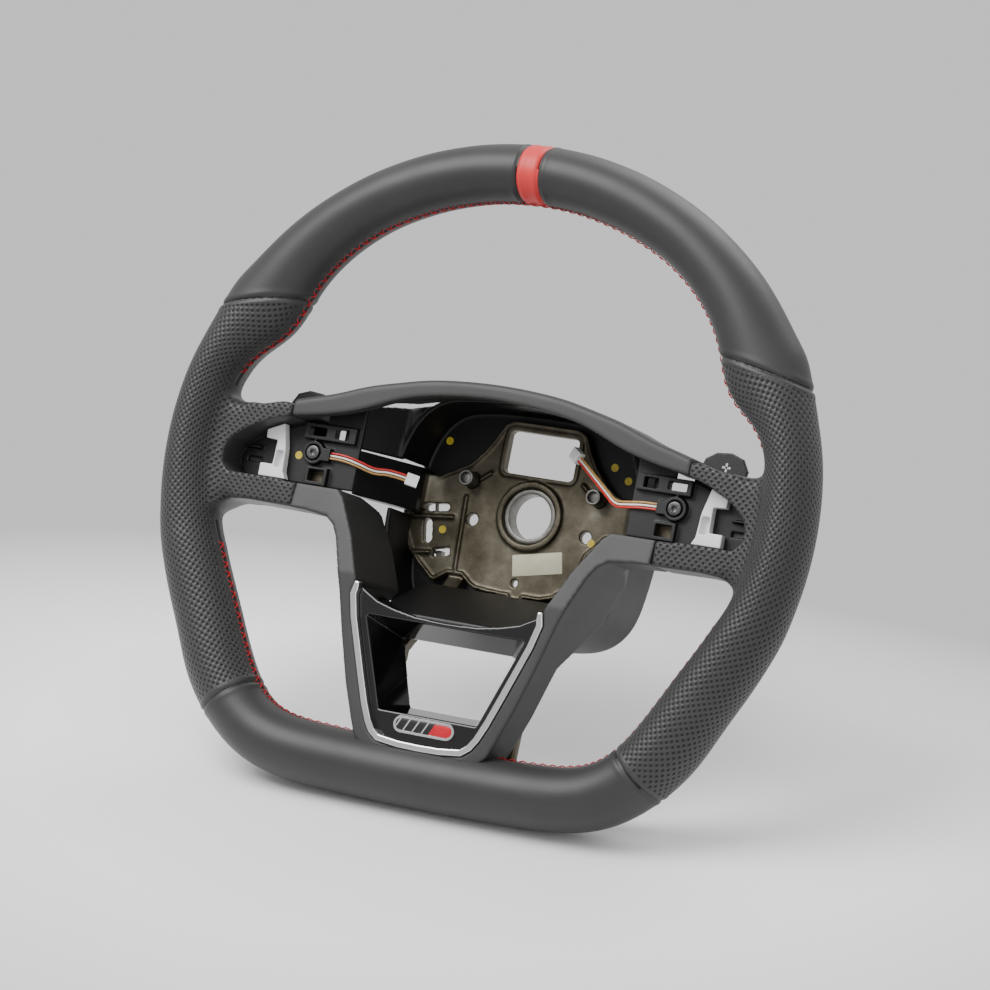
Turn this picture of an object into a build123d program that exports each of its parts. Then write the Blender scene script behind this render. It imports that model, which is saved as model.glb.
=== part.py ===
from build123d import *
import os
from math import atan2, cos, degrees, hypot, radians, sin, tan

os.makedirs("parts", exist_ok=True)

# Steering wheel with a flattened bottom, airbag and switch packs removed.
# Frame: X to the driver's right, Y from the driver into the wheel, Z up.
# The origin is on the hub's axis, in the plane of the hub plate's front face.
# Depths below are measured back from the rim's centre plane.

# ---------------------------------------------------------------- dimensions
SEAT = 69.0            # rim centre plane to the hub plate's front face
LEATHER = 1.4          # leather thickness
# Right half of the rim: angle from +X, radius of the section's centre,
# half width in the wheel's plane, half depth along the wheel's axis
RIM = [
    (90, 168.4, 15.3, 19.7), (85, 168.4, 15.3, 19.7), (80, 168.5, 15.3, 19.7),
    (75, 168.5, 15.3, 19.7), (70, 168.6, 15.3, 19.7), (65, 168.6, 15.3, 19.7),
    (60, 168.7, 15.3, 19.7), (55, 168.5, 15.5, 19.7), (50, 168.1, 16.0, 19.7),
    (45, 167.4, 16.8, 19.7), (40, 166.2, 17.9, 19.7), (35, 164.7, 19.7, 19.7),
    (30, 164.2, 21.0, 19.7), (25, 165.9, 18.1, 19.7), (20, 167.9, 14.9, 19.7),
    (15, 168.8, 13.9, 19.5), (10, 168.6, 13.8, 19.3), (5, 168.1, 13.8, 19.3),
    (0, 167.5, 13.9, 19.2), (-5, 166.6, 14.4, 19.1), (-10, 165.6, 15.1, 19.1),
    (-15, 164.5, 16.2, 19.0), (-20, 163.3, 16.7, 19.0), (-25, 162.5, 17.1, 19.0),
    (-30, 162.5, 17.3, 19.0), (-35, 163.9, 17.5, 19.2), (-40, 166.3, 17.7, 19.4),
    (-45, 168.3, 17.2, 19.6), (-50, 169.2, 16.6, 19.7), (-55, 168.1, 16.4, 19.7),
    (-60, 164.3, 16.3, 19.7), (-65, 159.0, 16.3, 19.7), (-70, 154.1, 16.3, 19.7),
    (-75, 150.3, 16.3, 19.7), (-80, 147.7, 16.3, 19.7), (-85, 146.2, 16.3, 19.7),
    (-90, 145.6, 16.3, 19.7),
]
MARKER = 12.0          # width of the red marker band at twelve o'clock
SEAM_Z, SEAM_X, SEAM_SLOPE = 83.0, 140.0, -0.19   # upper grip seam
LOW_SEAM_X, LOW_SEAM_Z, LOW_SEAM_TURN = 116.0, -124.5, -40.0

BORE_R, BUSH_R, BORE_LEN = 12.0, 14.6, 11.0
BOSS_R, RING_R, RING_IN = 19.5, 18.5, 15.2
BOSS_LEN = 9.0
PLATE_T = 5.0
SLEEVE_X, SLEEVE_Z, SLEEVE_R, SLEEVE_BORE = 37.0, 14.5, 4.2, 2.9

ARM_FRONT, ARM_T = 15.0, 5.0     # depth of the spoke arms' front face, thickness
ROOT_FRONT, ROOT_BACK = -6.0, 22.0   # depths of the leather spoke roots
ARM_Z0, ARM_Z1 = -5.0, 14.0
LEG_X0, LEG_X1 = 31.5, 40.5
CORE_R, CORE_DEPTH = 5.5, 9.5

PIN_X, PIN_DEPTH, PIN_R = 96.0, 30.1, 1.5    # paddle hinge
PIN_CLEAR = 0.05
LEVER_FRONT, LEVER_T = 26.5, 3.0
SCREW_X, SCREW_Z = 103.0, 10.3
COVER_FRONT, COVER_BACK, COVER_WALL = 41.3, 83.0, 2.4
FLOOR_DEPTH = 74.1
WIRE = 1.1             # insulated wire diameter
WIRE_PITCH = 1.5


# ---------------------------------------------------------------- helpers
def front(depth):
    """Plane facing the driver at a depth behind the rim's centre plane."""
    return Plane(origin=(0, depth - SEAT, 0), x_dir=(1, 0, 0), z_dir=(0, -1, 0))


def mirrored(points):
    """Right-hand outline from top to bottom, closed through its mirror image."""
    return points + [(-x, z) for x, z in reversed(points) if x > 1e-6]


def rim_frames(grow):
    """Plane, half width and half depth of every rim station, right half."""
    pts = [(r * cos(radians(a)), r * sin(radians(a))) for a, r, _, _ in RIM]
    frames = []
    for i, (a, r, w, d) in enumerate(RIM):
        if i in (0, len(RIM) - 1):
            t = (1.0, 0.0) if i == 0 else (-1.0, 0.0)
        else:
            (x0, z0), (x1, z1), (x2, z2) = pts[i - 1], pts[i], pts[i + 1]
            l0, l1 = hypot(x1 - x0, z1 - z0), hypot(x2 - x1, z2 - z1)
            tx = (x1 - x0) / l0 * l1 + (x2 - x1) / l1 * l0
            tz = (z1 - z0) / l0 * l1 + (z2 - z1) / l1 * l0
            t = (tx / hypot(tx, tz), tz / hypot(tx, tz))
        n = (-t[1], t[0])
        x, z = pts[i]
        frames.append(
            (Plane(origin=(x, -SEAT, z), x_dir=(n[0], 0, n[1]), z_dir=(t[0], 0, t[1])),
             w + grow, d + grow)
        )
    return frames


def finish(piece, label):
    piece.part.label = label
    export_step(piece.part, "parts/" + label + ".step")
    print(label, round(piece.part.volume))


# ---------------------------------------------------------------- rim bodies
# Outer skin of the leather and outer skin of the foam, each as a full ring.
with BuildPart() as skin_half:
    for plane, w, d in rim_frames(0):
        with BuildSketch(plane):
            Ellipse(w, d)
    loft()

with BuildPart() as foam_half:
    for plane, w, d in rim_frames(-LEATHER):
        with BuildSketch(plane):
            Ellipse(w, d)
    loft()

# Spoke roots: leather arms that run from the grips to the surround, with the
# pocket for the thumb switches left open to the front.
ROOT = [(158, 32), (146, 30.5), (130, 30.5), (118, 33.5), (112.7, 33), (112.7, -8),
        (102, -8), (102, -21), (128, -20.5), (140, -21.5), (146, -26), (158, -30)]
POCKET = [(98, 27), (112.7, 26.5), (125, 22.5), (136, 17), (145, 10), (147.5, 4),
          (147, -3), (143, -7.5), (98, -7.5)]

with BuildPart() as root_skin:
    with BuildSketch(front(ROOT_BACK)):
        with BuildLine():
            Polyline(*ROOT, close=True)
        make_face()
    extrude(amount=ROOT_BACK - ROOT_FRONT)
    fillet(root_skin.faces().sort_by(Axis.Y)[0].edges(), 3.5)
    fillet(root_skin.faces().sort_by(Axis.Y)[-1].edges(), 3.5)

with BuildPart() as root_inside:
    with BuildSketch(front(ROOT_BACK - LEATHER)):
        with BuildLine():
            Polyline(*ROOT, close=True)
        make_face()
        offset(amount=-LEATHER, kind=Kind.INTERSECTION)
    extrude(amount=ROOT_BACK - ROOT_FRONT - 2 * LEATHER)
    fillet(root_inside.faces().sort_by(Axis.Y)[0].edges(), 2.2)
    fillet(root_inside.faces().sort_by(Axis.Y)[-1].edges(), 2.2)
    with BuildSketch(front(ARM_FRONT + LEATHER)):
        with BuildLine():
            Polyline(*POCKET, close=True)
        make_face()
        offset(amount=LEATHER, kind=Kind.INTERSECTION)
    extrude(amount=30, mode=Mode.SUBTRACT)

with BuildPart() as pocket:
    with BuildSketch(front(ARM_FRONT)):
        with BuildLine():
            Polyline(*POCKET, close=True)
        make_face()
    extrude(amount=40)

# ---------------------------------------------------------------- armature
# Hub plate outline: wide slotted lobe on the left, short tongue on the right.
PLATE = [(0, 49.6), (18.6, 49.4), (23.7, 46.9), (27.7, 38.9), (32.7, 30.8), (39.7, 22.8),
         (46, 18.0), (60, 13), (60, -5), (45, -6), (40.5, -11), (36, -16), (34, -26),
         (29.6, -34.5), (21.6, -41), (14, -43.2), (5, -43.2), (4, -46), (-3.6, -46), (-4.6, -43.4),
         (-8.6, -43.5), (-23.7, -42.5), (-27.7, -40.5), (-32.7, -36.5), (-40.7, -36.5),
         (-43.7, -38.5), (-48.8, -42), (-55.8, -36.5), (-65.9, -27.4), (-71.9, -14.4),
         (-73.9, -2.3), (-71.9, 3.7), (-61.8, 10.7), (-39.7, 22.8), (-32.7, 30.8),
         (-27.7, 38.9), (-23.7, 46.9), (-18.6, 49.4)]
ARM = [(53, SEAT), (61, SEAT - 3), (83.5, 22), (88, ARM_FRONT), (147, ARM_FRONT), (155, 7.0),
       (162.5, 7.0), (162.5, 12.0), (158, 12.0), (150, ARM_FRONT + ARM_T), (90, ARM_FRONT + ARM_T),
       (69, 66), (65, SEAT + PLATE_T), (53, SEAT + PLATE_T)]
LEG = [(SEAT, -20), (SEAT, -38), (60, -47.5), (27, -70.5), (15.5, -80), (14.5, -128), (6, -136),
       (6, -141.5), (13, -141.5), (13, -139), (20.5, -131), (21.5, -83), (31, -75), (66, -49),
       (SEAT + PLATE_T, -42), (SEAT + PLATE_T, -20)]

with BuildPart() as armature:
    with BuildSketch(front(SEAT + PLATE_T)):
        with BuildLine():
            Polyline(*PLATE, close=True)
        make_face()
    extrude(amount=PLATE_T)
    # raised edge all round the plate
    with BuildSketch(front(SEAT)):
        with BuildLine():
            Polyline(*PLATE, close=True)
        make_face()
        with BuildLine():
            Polyline(*PLATE, close=True)
        offset(make_face(mode=Mode.PRIVATE), amount=-1.6, kind=Kind.INTERSECTION, mode=Mode.SUBTRACT)
    extrude(amount=1.4)
    # edge round the cable window
    with BuildSketch(front(SEAT)):
        with Locations((0, 32.75)):
            RectangleRounded(45.0, 27.3, 4.5)
    extrude(amount=1.4)
    # hub boss: raised ring in front, long boss behind
    with BuildSketch(front(SEAT)):
        Circle(RING_R)
    extrude(amount=3.0)
    with BuildSketch(front(SEAT + BOSS_LEN)):
        Circle(BOSS_R)
    extrude(amount=BOSS_LEN)
    with BuildSketch(front(SEAT - 1)):
        Circle(RING_IN)
    extrude(amount=10, mode=Mode.SUBTRACT)
    # arms to three and nine o'clock
    for side in (1, -1):
        with BuildSketch(Plane(origin=(0, 0, ARM_Z0), x_dir=(1, 0, 0), z_dir=(0, 0, 1))):
            with BuildLine():
                Polyline(*[(side * x, y - SEAT) for x, y in ARM], close=True)
            make_face()
        extrude(amount=ARM_Z1 - ARM_Z0)
    # two legs down to the rim's bottom
    for x0 in (LEG_X0, -LEG_X1):
        with BuildSketch(Plane(origin=(x0, 0, 0), x_dir=(0, 1, 0), z_dir=(1, 0, 0))):
            with BuildLine():
                Polyline(*[(y - SEAT, z) for y, z in LEG], close=True)
            make_face()
        extrude(amount=LEG_X1 - LEG_X0)
    # ribs on the left lobe and across the plate
    with BuildSketch(front(SEAT)):
        with Locations(Location((-55, -8, 0), 6)):
            Rectangle(24, 1.8)
        with Locations(Location((-53, -27, 0), 8)):
            Rectangle(22, 1.8)
        with Locations(Location((-37.5, -14, 0), 92)):
            Rectangle(40, 1.8)
        with Locations(Location((-30, 17, 0), 38)):
            Rectangle(10, 1.6)
        with Locations(Location((30, 18, 0), -38)):
            Rectangle(10, 1.6)
    extrude(amount=2.0)
    # openings through the plate
    with BuildSketch(front(SEAT + 20)):
        with Locations((0, 32.75)):
            RectangleRounded(40.6, 22.9, 3.0)
        with Locations(Location((-54.3, -2.6, 0), 8)):
            SlotOverall(14.0, 4.0)
        with Locations(Location((-57.5, -15.8, 0), 100)):
            SlotOverall(13.0, 5.0)
        with Locations(Location((-47.6, -26.0, 0), 12)):
            Rectangle(10.5, 4.2)
        with Locations((-33, -6.2), (33, -6.2)):
            Circle(3.2)
        with Locations((-2, -36)):
            Circle(2.0)
        Circle(BUSH_R)
        with Locations((-SLEEVE_X, SLEEVE_Z), (SLEEVE_X, SLEEVE_Z)):
            Circle(SLEEVE_R)
        with Locations((-SCREW_X, SCREW_Z), (SCREW_X, SCREW_Z)):
            Circle(1.5)
    extrude(amount=90, mode=Mode.SUBTRACT)
    # blind holes for the rear cover's screws
    with BuildSketch(front(SEAT + PLATE_T)):
        with Locations((-52, 8), (52, 5)):
            Circle(1.5)
    extrude(amount=3.5, mode=Mode.SUBTRACT)

with BuildPart() as hub_bush:
    with BuildSketch(front(SEAT - 1 + BORE_LEN)):
        Circle(BUSH_R)
        Circle(BORE_R, mode=Mode.SUBTRACT)
    extrude(amount=BORE_LEN)

with BuildPart() as locating_sleeves:
    with BuildSketch(front(SEAT + PLATE_T)):
        with Locations((-SLEEVE_X, SLEEVE_Z), (SLEEVE_X, SLEEVE_Z)):
            Circle(SLEEVE_R)
            Circle(SLEEVE_BORE, mode=Mode.SUBTRACT)
    extrude(amount=15)

# Rim core: round bar that follows the rim, let on to the arms and legs.
core_pts = [(p.origin.X, p.origin.Z) for p, _, _ in rim_frames(0)]
core_pts = core_pts[::2]
core_loop = core_pts + [(-x, z) for x, z in reversed(core_pts[1:-1])]
with BuildPart() as rim_core:
    with BuildLine(front(CORE_DEPTH)):
        Spline(*core_loop, periodic=True)
    with BuildSketch(Plane(origin=(0, CORE_DEPTH - SEAT, core_loop[0][1]), z_dir=(1, 0, 0))):
        Circle(CORE_R)
    sweep()
    add(armature.part, mode=Mode.SUBTRACT)

# ---------------------------------------------------------------- surround
TOP_OUT = [(0, 58), (20, 57.3), (42, 54.8), (55, 52), (73, 47.5), (92, 41), (101, 38.6), (112.5, 35.5)]
TOP_IN = [(112.5, 26.6), (104, 27.8), (85, 31.5), (70, 36.2), (60, 40.3), (50, 43.8), (27, 48.2), (0, 49.8)]

with BuildPart() as surround_top:
    with BuildSketch(front(41)):
        with BuildLine():
            Spline(*[(-x, z) for x, z in reversed(TOP_OUT[1:])], *TOP_OUT)
            Line(TOP_OUT[-1], TOP_IN[0])
            Spline(*TOP_IN, *[(-x, z) for x, z in reversed(TOP_IN[:-1])])
            Line((-TOP_IN[0][0], TOP_IN[0][1]), (-TOP_OUT[-1][0], TOP_OUT[-1][1]))
        make_face()
    extrude(amount=46)
    lip = surround_top.faces().sort_by(Axis.Y)[0].edges().filter_by(GeomType.BSPLINE)
    fillet(lip.sort_by(Axis.Z)[-1], 3.2)
    # thin wall behind the rounded lip
    with BuildSketch(front(42)):
        with BuildLine():
            Spline(*[(-x, z - 3.2) for x, z in reversed(TOP_OUT[1:-1])], *[(x, z - 3.2) for x, z in TOP_OUT[:-1]])
            Polyline((101, 35.4), (101, 20), (-101, 20), (-101, 35.4))
        make_face()
    extrude(amount=39, mode=Mode.SUBTRACT)
    # shallow at the sides, where the paddles pass behind
    with BuildSketch(Plane(origin=(0, 0, 20), x_dir=(1, 0, 0), z_dir=(0, 0, 1))):
        for side in (1, -1):
            with BuildLine():
                Polyline(*[(side * x, y - SEAT) for x, y in
                           [(62, 42), (66, 38), (82, 22), (113, 22), (113, 60), (62, 60)]], close=True)
            make_face()
    extrude(amount=60, mode=Mode.SUBTRACT)

CHROME = [(53, -53.5), (54.5, -60.4), (51.5, -72.4), (46.5, -86.3), (41.5, -100.2), (36.3, -114.2),
          (32.3, -123), (29, -128), (24, -131.8), (12, -133.2), (0, -133.5)]
VEE_IN = [(101.8, -8), (77, -8), (73, -12), (62, -31), (53, -52)]
VEE_OUT = [(0, -138.3), (26, -137.4), (32.6, -135), (37.6, -130), (40.6, -123), (47.6, -105), (55.5, -80),
           (61.5, -59), (66, -46), (71, -33), (75, -26.5), (80, -23), (92, -21.5), (101.8, -21)]
vee_right = VEE_OUT[1:] + VEE_IN + CHROME[:-1]
vee_out_full = [(-x, z) for x, z in reversed(VEE_OUT[1:])] + VEE_OUT

with BuildPart() as vee_prism:
    with BuildSketch(front(41)):
        with BuildLine():
            Polyline(*(vee_out_full + VEE_IN + CHROME + [(-x, z) for x, z in reversed(CHROME[:-1])]
                       + [(-x, z) for x, z in reversed(VEE_IN)]), close=True)
        make_face()
    extrude(amount=54)

with BuildPart() as surround_vee:
    add(vee_prism.part)
    # front face leans forward from the spokes to the V, back face tapers
    with BuildSketch(Plane(origin=(-110, 0, 0), x_dir=(0, 1, 0), z_dir=(1, 0, 0))):
        with BuildLine():
            Polyline(*[(y - SEAT, z) for y, z in [(-14, -50), (-13, -50), (-5, -9), (-5, 0), (-14, 0)]], close=True)
        make_face()
        with BuildLine():
            Polyline(*[(y - SEAT, z) for y, z in [(42, -52), (41, -52), (13, -79), (12, -140), (42, -140)]], close=True)
        make_face()
    extrude(amount=220, mode=Mode.SUBTRACT)
    with BuildSketch(Plane(origin=(0, 0, -40), x_dir=(1, 0, 0), z_dir=(0, 0, 1))):
        for side in (1, -1):
            with BuildLine():
                Polyline(*[(side * x, y - SEAT) for x, y in [(72, 42), (79, 19.9), (103, 19.9), (103, 42)]], close=True)
            make_face()
    extrude(amount=40, mode=Mode.SUBTRACT)
    add(armature.part, mode=Mode.SUBTRACT)

with BuildPart() as vee_envelope:
    with BuildSketch(front(13)):
        with BuildLine():
            Polyline(*(vee_out_full + [(101.8, -10), (-101.8, -10)]), close=True)
        make_face()
    extrude(amount=50)

# ---------------------------------------------------------------- V insert
chrome_loop = CHROME + [(-x, z) for x, z in reversed(CHROME[:-1])]
TOP_ARC = [(52.4, -54.5), (40, -61.3), (30, -64), (17, -66.2), (0, -67), (-17, -66.2), (-30, -64), (-40, -61.3), (-52.4, -54.5)]

with BuildPart() as strip_region:
    with BuildSketch(front(-9.5)):
        with BuildLine():
            Polyline(*chrome_loop, close=True)
        make_face()
        with BuildLine():
            Polyline(*chrome_loop, close=True)
        offset(make_face(mode=Mode.PRIVATE), amount=-3.7, kind=Kind.INTERSECTION, mode=Mode.SUBTRACT)
    extrude(amount=4.3)

with BuildPart() as chrome_strip:
    add(strip_region.part)
    # open at the top: keep only the U below the upper ends
    with BuildSketch(front(0)):
        with BuildLine():
            Polyline((-50.2, -50), (-50.2, -58.6), (50.2, -58.6), (50.2, -50), close=True)
        make_face()
    extrude(amount=20, mode=Mode.SUBTRACT)
    chamfer(chrome_strip.faces().sort_by(Axis.Y)[0].outer_wire().edges(), 0.5)

with BuildPart() as v_insert:
    with BuildSketch(front(12)):
        with BuildLine():
            Polyline(*(CHROME[1:] + [(-x, z) for x, z in reversed(CHROME[1:-1])] + TOP_ARC[::-1][0:]), close=True)
        make_face()
        offset(amount=-0.05, kind=Kind.INTERSECTION, mode=Mode.REPLACE)
    extrude(amount=21.5)
    # funnel from the face back to the window
    with BuildSketch(front(-9.6)):
        with BuildLine():
            Polyline((-45.5, -68.8), (45.5, -68.8), (28, -115.5), (-28, -115.5), close=True)
        make_face()
    with BuildSketch(front(12.1)):
        with BuildLine():
            Polyline((-31, -77), (31, -77), (20, -111.5), (-20, -111.5), close=True)
        make_face()
    loft(mode=Mode.SUBTRACT)

with BuildPart() as badge_frame:
    with BuildSketch(front(-9.5)):
        with Locations((0, -121)):
            SlotOverall(34, 8.6)
    extrude(amount=1.6)
    with BuildSketch(front(-10.3)):
        with Locations((0, -121)):
            SlotOverall(31.6, 6.2)
    extrude(amount=2, mode=Mode.SUBTRACT)

with BuildPart() as badge_inlay:
    with BuildSketch(front(-10.3)):
        with Locations((0, -121)):
            SlotOverall(31.4, 6.0)
    extrude(amount=0.7)

# ---------------------------------------------------------------- foam and leather
with BuildPart() as foam_right:
    add(foam_half.part)
    add(root_inside.part)
    add(pocket.part, mode=Mode.SUBTRACT)
    add(vee_envelope.part, mode=Mode.SUBTRACT)
    add(armature.part, mode=Mode.SUBTRACT)
    add(rim_core.part, mode=Mode.SUBTRACT)

with BuildPart() as rim_foam:
    add(foam_right.part)
    mirror(foam_right.part, about=Plane.YZ)

with BuildPart() as inside_right:
    add(foam_half.part)
    add(root_inside.part)

with BuildPart() as leather_right:
    add(skin_half.part)
    add(root_skin.part)
    add(inside_right.part, mode=Mode.SUBTRACT)
    add(pocket.part, mode=Mode.SUBTRACT)
    add(vee_envelope.part, mode=Mode.SUBTRACT)
    add(armature.part, mode=Mode.SUBTRACT)

turn = radians(LOW_SEAM_TURN)
out_x, out_z = LOW_SEAM_X + 60 * cos(turn), LOW_SEAM_Z + 60 * sin(turn)
in_x, in_z = LOW_SEAM_X - 50 * cos(turn), LOW_SEAM_Z - 50 * sin(turn)
seam_in = (40, SEAM_Z - 100 * SEAM_SLOPE)
seam_out = (240, SEAM_Z + 100 * SEAM_SLOPE)


def zone(points):
    """Block through the whole wheel with the given outline."""
    with BuildPart() as block:
        with BuildSketch(front(60)):
            with BuildLine():
                Polyline(*points, close=True)
            make_face()
        extrude(amount=120)
    return block.part


upper_zone = zone([seam_in, seam_out, (240, 240), (-10, 240), (-10, seam_in[1])])
lower_zone = zone([(in_x, in_z), (out_x, out_z), (out_x, -240), (-10, -240), (-10, in_z)])
marker_zone = zone([(-10, 0), (MARKER / 2, 0), (MARKER / 2, 240), (-10, 240)])

with BuildPart() as leather_top_right:
    add(leather_right.part)
    add(upper_zone, mode=Mode.INTERSECT)
    add(marker_zone, mode=Mode.SUBTRACT)
with BuildPart() as leather_top_left:
    mirror(leather_top_right.part, about=Plane.YZ)
with BuildPart() as marker_half:
    add(leather_right.part)
    add(marker_zone, mode=Mode.INTERSECT)
with BuildPart() as leather_marker:
    add(marker_half.part)
    mirror(marker_half.part, about=Plane.YZ)
with BuildPart() as bottom_half:
    add(leather_right.part)
    add(lower_zone, mode=Mode.INTERSECT)
with BuildPart() as leather_bottom:
    add(bottom_half.part)
    mirror(bottom_half.part, about=Plane.YZ)
with BuildPart() as leather_grip_right:
    add(leather_right.part)
    add(upper_zone, mode=Mode.SUBTRACT)
    add(lower_zone, mode=Mode.SUBTRACT)
with BuildPart() as leather_grip_left:
    mirror(leather_grip_right.part, about=Plane.YZ)

# Seam thread: runs on the rim's inner side, a little towards the driver, one
# over the upper window and one along each side window.
THREAD_R, THREAD_DEPTH = 0.5, -1.4


def thread_run(first, last):
    pts = []
    for (a, r, w, d), (plane, _, _) in zip(RIM, rim_frames(0)):
        if first >= a >= last:
            inset = w * (1 - (THREAD_DEPTH / d) ** 2) ** 0.5 + THREAD_R + 0.45
            p = plane.origin - plane.x_dir * inset
            pts.append((p.X, p.Z))
    return pts


upper_run = thread_run(90, 15)
side_run = thread_run(-20, -75)

with BuildPart() as seam_thread:
    for pts in ([(-x, z) for x, z in reversed(upper_run[1:])] + upper_run,
                side_run, [(-x, z) for x, z in side_run]):
        with BuildLine(front(THREAD_DEPTH)) as run:
            Spline(*pts)
        with BuildSketch(Plane(origin=run.line @ 0, z_dir=run.line % 0)):
            Circle(THREAD_R)
        sweep()

# ---------------------------------------------------------------- rear cover
COVER = [(0, 56.5), (20, 55.8), (42, 53.3), (52, 50), (60, 43), (66, 32), (69.5, 18), (70.5, 0),
         (70, -16), (68, -34), (64.5, -48), (58, -57.5), (47, -64), (30, -66.8), (0, -67.8)]
WALL = [(90, 16.0), (90, 18.8), (69.6, 45.2), (52, 45.2), (52, 42.4), (67.8, 42.4), (87.2, 16.0)]
WALL_Z0 = 17.2
COVER_IN = [(x * (1 - COVER_WALL / 70.5), z - COVER_WALL * z / hypot(x, z)) for x, z in COVER]


def cover_prism(half, near, far):
    """Smooth outline, given as its right half from top to bottom, between two depths."""
    with BuildPart() as block:
        with BuildSketch(front(far)):
            with BuildLine():
                Spline(*half, tangents=[(1, 0), (-1, 0)])
                Spline(*[(-x, z) for x, z in reversed(half)], tangents=[(-1, 0), (1, 0)])
            make_face()
        extrude(amount=far - near)
    return block.part


with BuildPart() as back_cover:
    add(cover_prism(COVER, COVER_FRONT, COVER_BACK))
    fillet(back_cover.faces().sort_by(Axis.Y)[-1].edges(), 2.0)
    add(cover_prism(COVER_IN, FLOOR_DEPTH + 2.2, COVER_BACK + 1), mode=Mode.SUBTRACT)
    add(cover_prism(COVER_IN, COVER_FRONT - 1, FLOOR_DEPTH), mode=Mode.SUBTRACT)
    # the floor is open behind the hub plate, with a tab for each screw
    with BuildSketch(front(FLOOR_DEPTH + 3)):
        with BuildLine():
            Polyline(*PLATE, close=True)
        make_face()
        offset(amount=-4, kind=Kind.INTERSECTION, mode=Mode.REPLACE)
        with Locations((-52, 8), (52, 5)):
            Circle(6, mode=Mode.SUBTRACT)
            Circle(1.6)
    extrude(amount=4, mode=Mode.SUBTRACT)
    # ways through the wall for the arms and legs
    for x in (-68, 68):
        with BuildSketch(front(FLOOR_DEPTH)):
            with Locations((x, 4.5)):
                Rectangle(20, 27)
        extrude(amount=60, mode=Mode.SUBTRACT)
    for x in (-36, 36):
        with BuildSketch(front(62)):
            with Locations((x, -58)):
                Rectangle(11.5, 24)
        extrude(amount=40, mode=Mode.SUBTRACT)
    # side walls of the bowl, from the switch carriers back to the cover
    with BuildPart(mode=Mode.PRIVATE) as walls:
        for side in (1, -1):
            with BuildSketch(Plane(origin=(0, 0, WALL_Z0), x_dir=(1, 0, 0), z_dir=(0, 0, 1))):
                with BuildLine():
                    Polyline(*[(side * x, y - SEAT) for x, y in WALL], close=True)
                make_face()
            extrude(amount=40)
        with BuildSketch(front(60)):
            with BuildLine():
                Polyline(*([(-x, z - 4.0) for x, z in reversed(TOP_OUT[1:-1])] + [(x, z - 4.0) for x, z in TOP_OUT[:-1]]
                           + [(101, 10), (-101, 10)]), close=True)
            make_face()
        extrude(amount=50, mode=Mode.INTERSECT)
        add(cover_prism(COVER_IN, COVER_FRONT - 5, FLOOR_DEPTH), mode=Mode.SUBTRACT)
    add(walls.part)
    # the hub plate's left lobe reaches into the wall
    add(armature.part, mode=Mode.SUBTRACT)

with BuildPart() as cover_screws:
    with BuildSketch(front(FLOOR_DEPTH + 4.2)):
        with Locations((-52, 8), (52, 5)):
            Circle(3.2)
    extrude(amount=2.0)
    with BuildSketch(front(FLOOR_DEPTH + 2.3)):
        with Locations((-52, 8), (52, 5)):
            Circle(1.5)
    extrude(amount=2.3 + 3.4)

# Bowl below the hub plate: sloping panel down to the V insert's top edge
with BuildPart() as lower_bowl:
    with BuildSketch(Plane(origin=(-50, 0, 0), x_dir=(0, 1, 0), z_dir=(1, 0, 0))):
        with BuildLine():
            Polyline(*[(y - SEAT, z) for y, z in [(12.3, -64), (62, -43.6), (62, -45.8), (13.5, -66), (13.5, -71), (12.3, -71)]], close=True)
        make_face()
    extrude(amount=100)
    with BuildSketch(front(12)):
        with Locations((0, -70.5)):
            Rectangle(110, 5)
    extrude(amount=-6, mode=Mode.SUBTRACT)
    add(armature.part, mode=Mode.SUBTRACT)

# Foam over the spoke arms where they climb out of the bowl
with BuildPart() as arm_cover_right:
    with BuildSketch(Plane(origin=(0, 0, ARM_Z0 - 2.3), x_dir=(1, 0, 0), z_dir=(0, 0, 1))):
        with BuildLine():
            Polyline(*[(x, y - SEAT) for x, y in ARM], close=True)
        make_face()
        offset(amount=2.3, kind=Kind.INTERSECTION, mode=Mode.REPLACE)
    extrude(amount=ARM_Z1 - ARM_Z0 + 4.6)
    with BuildSketch(Plane(origin=(0, 0, -30), x_dir=(1, 0, 0), z_dir=(0, 0, 1))):
        with Locations((72, 45 - SEAT)):
            Rectangle(20, 56)
    extrude(amount=60, mode=Mode.INTERSECT)
    add(armature.part, mode=Mode.SUBTRACT)
with BuildPart() as arm_cover_left:
    mirror(arm_cover_right.part, about=Plane.YZ)
    add(armature.part, mode=Mode.SUBTRACT)

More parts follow.
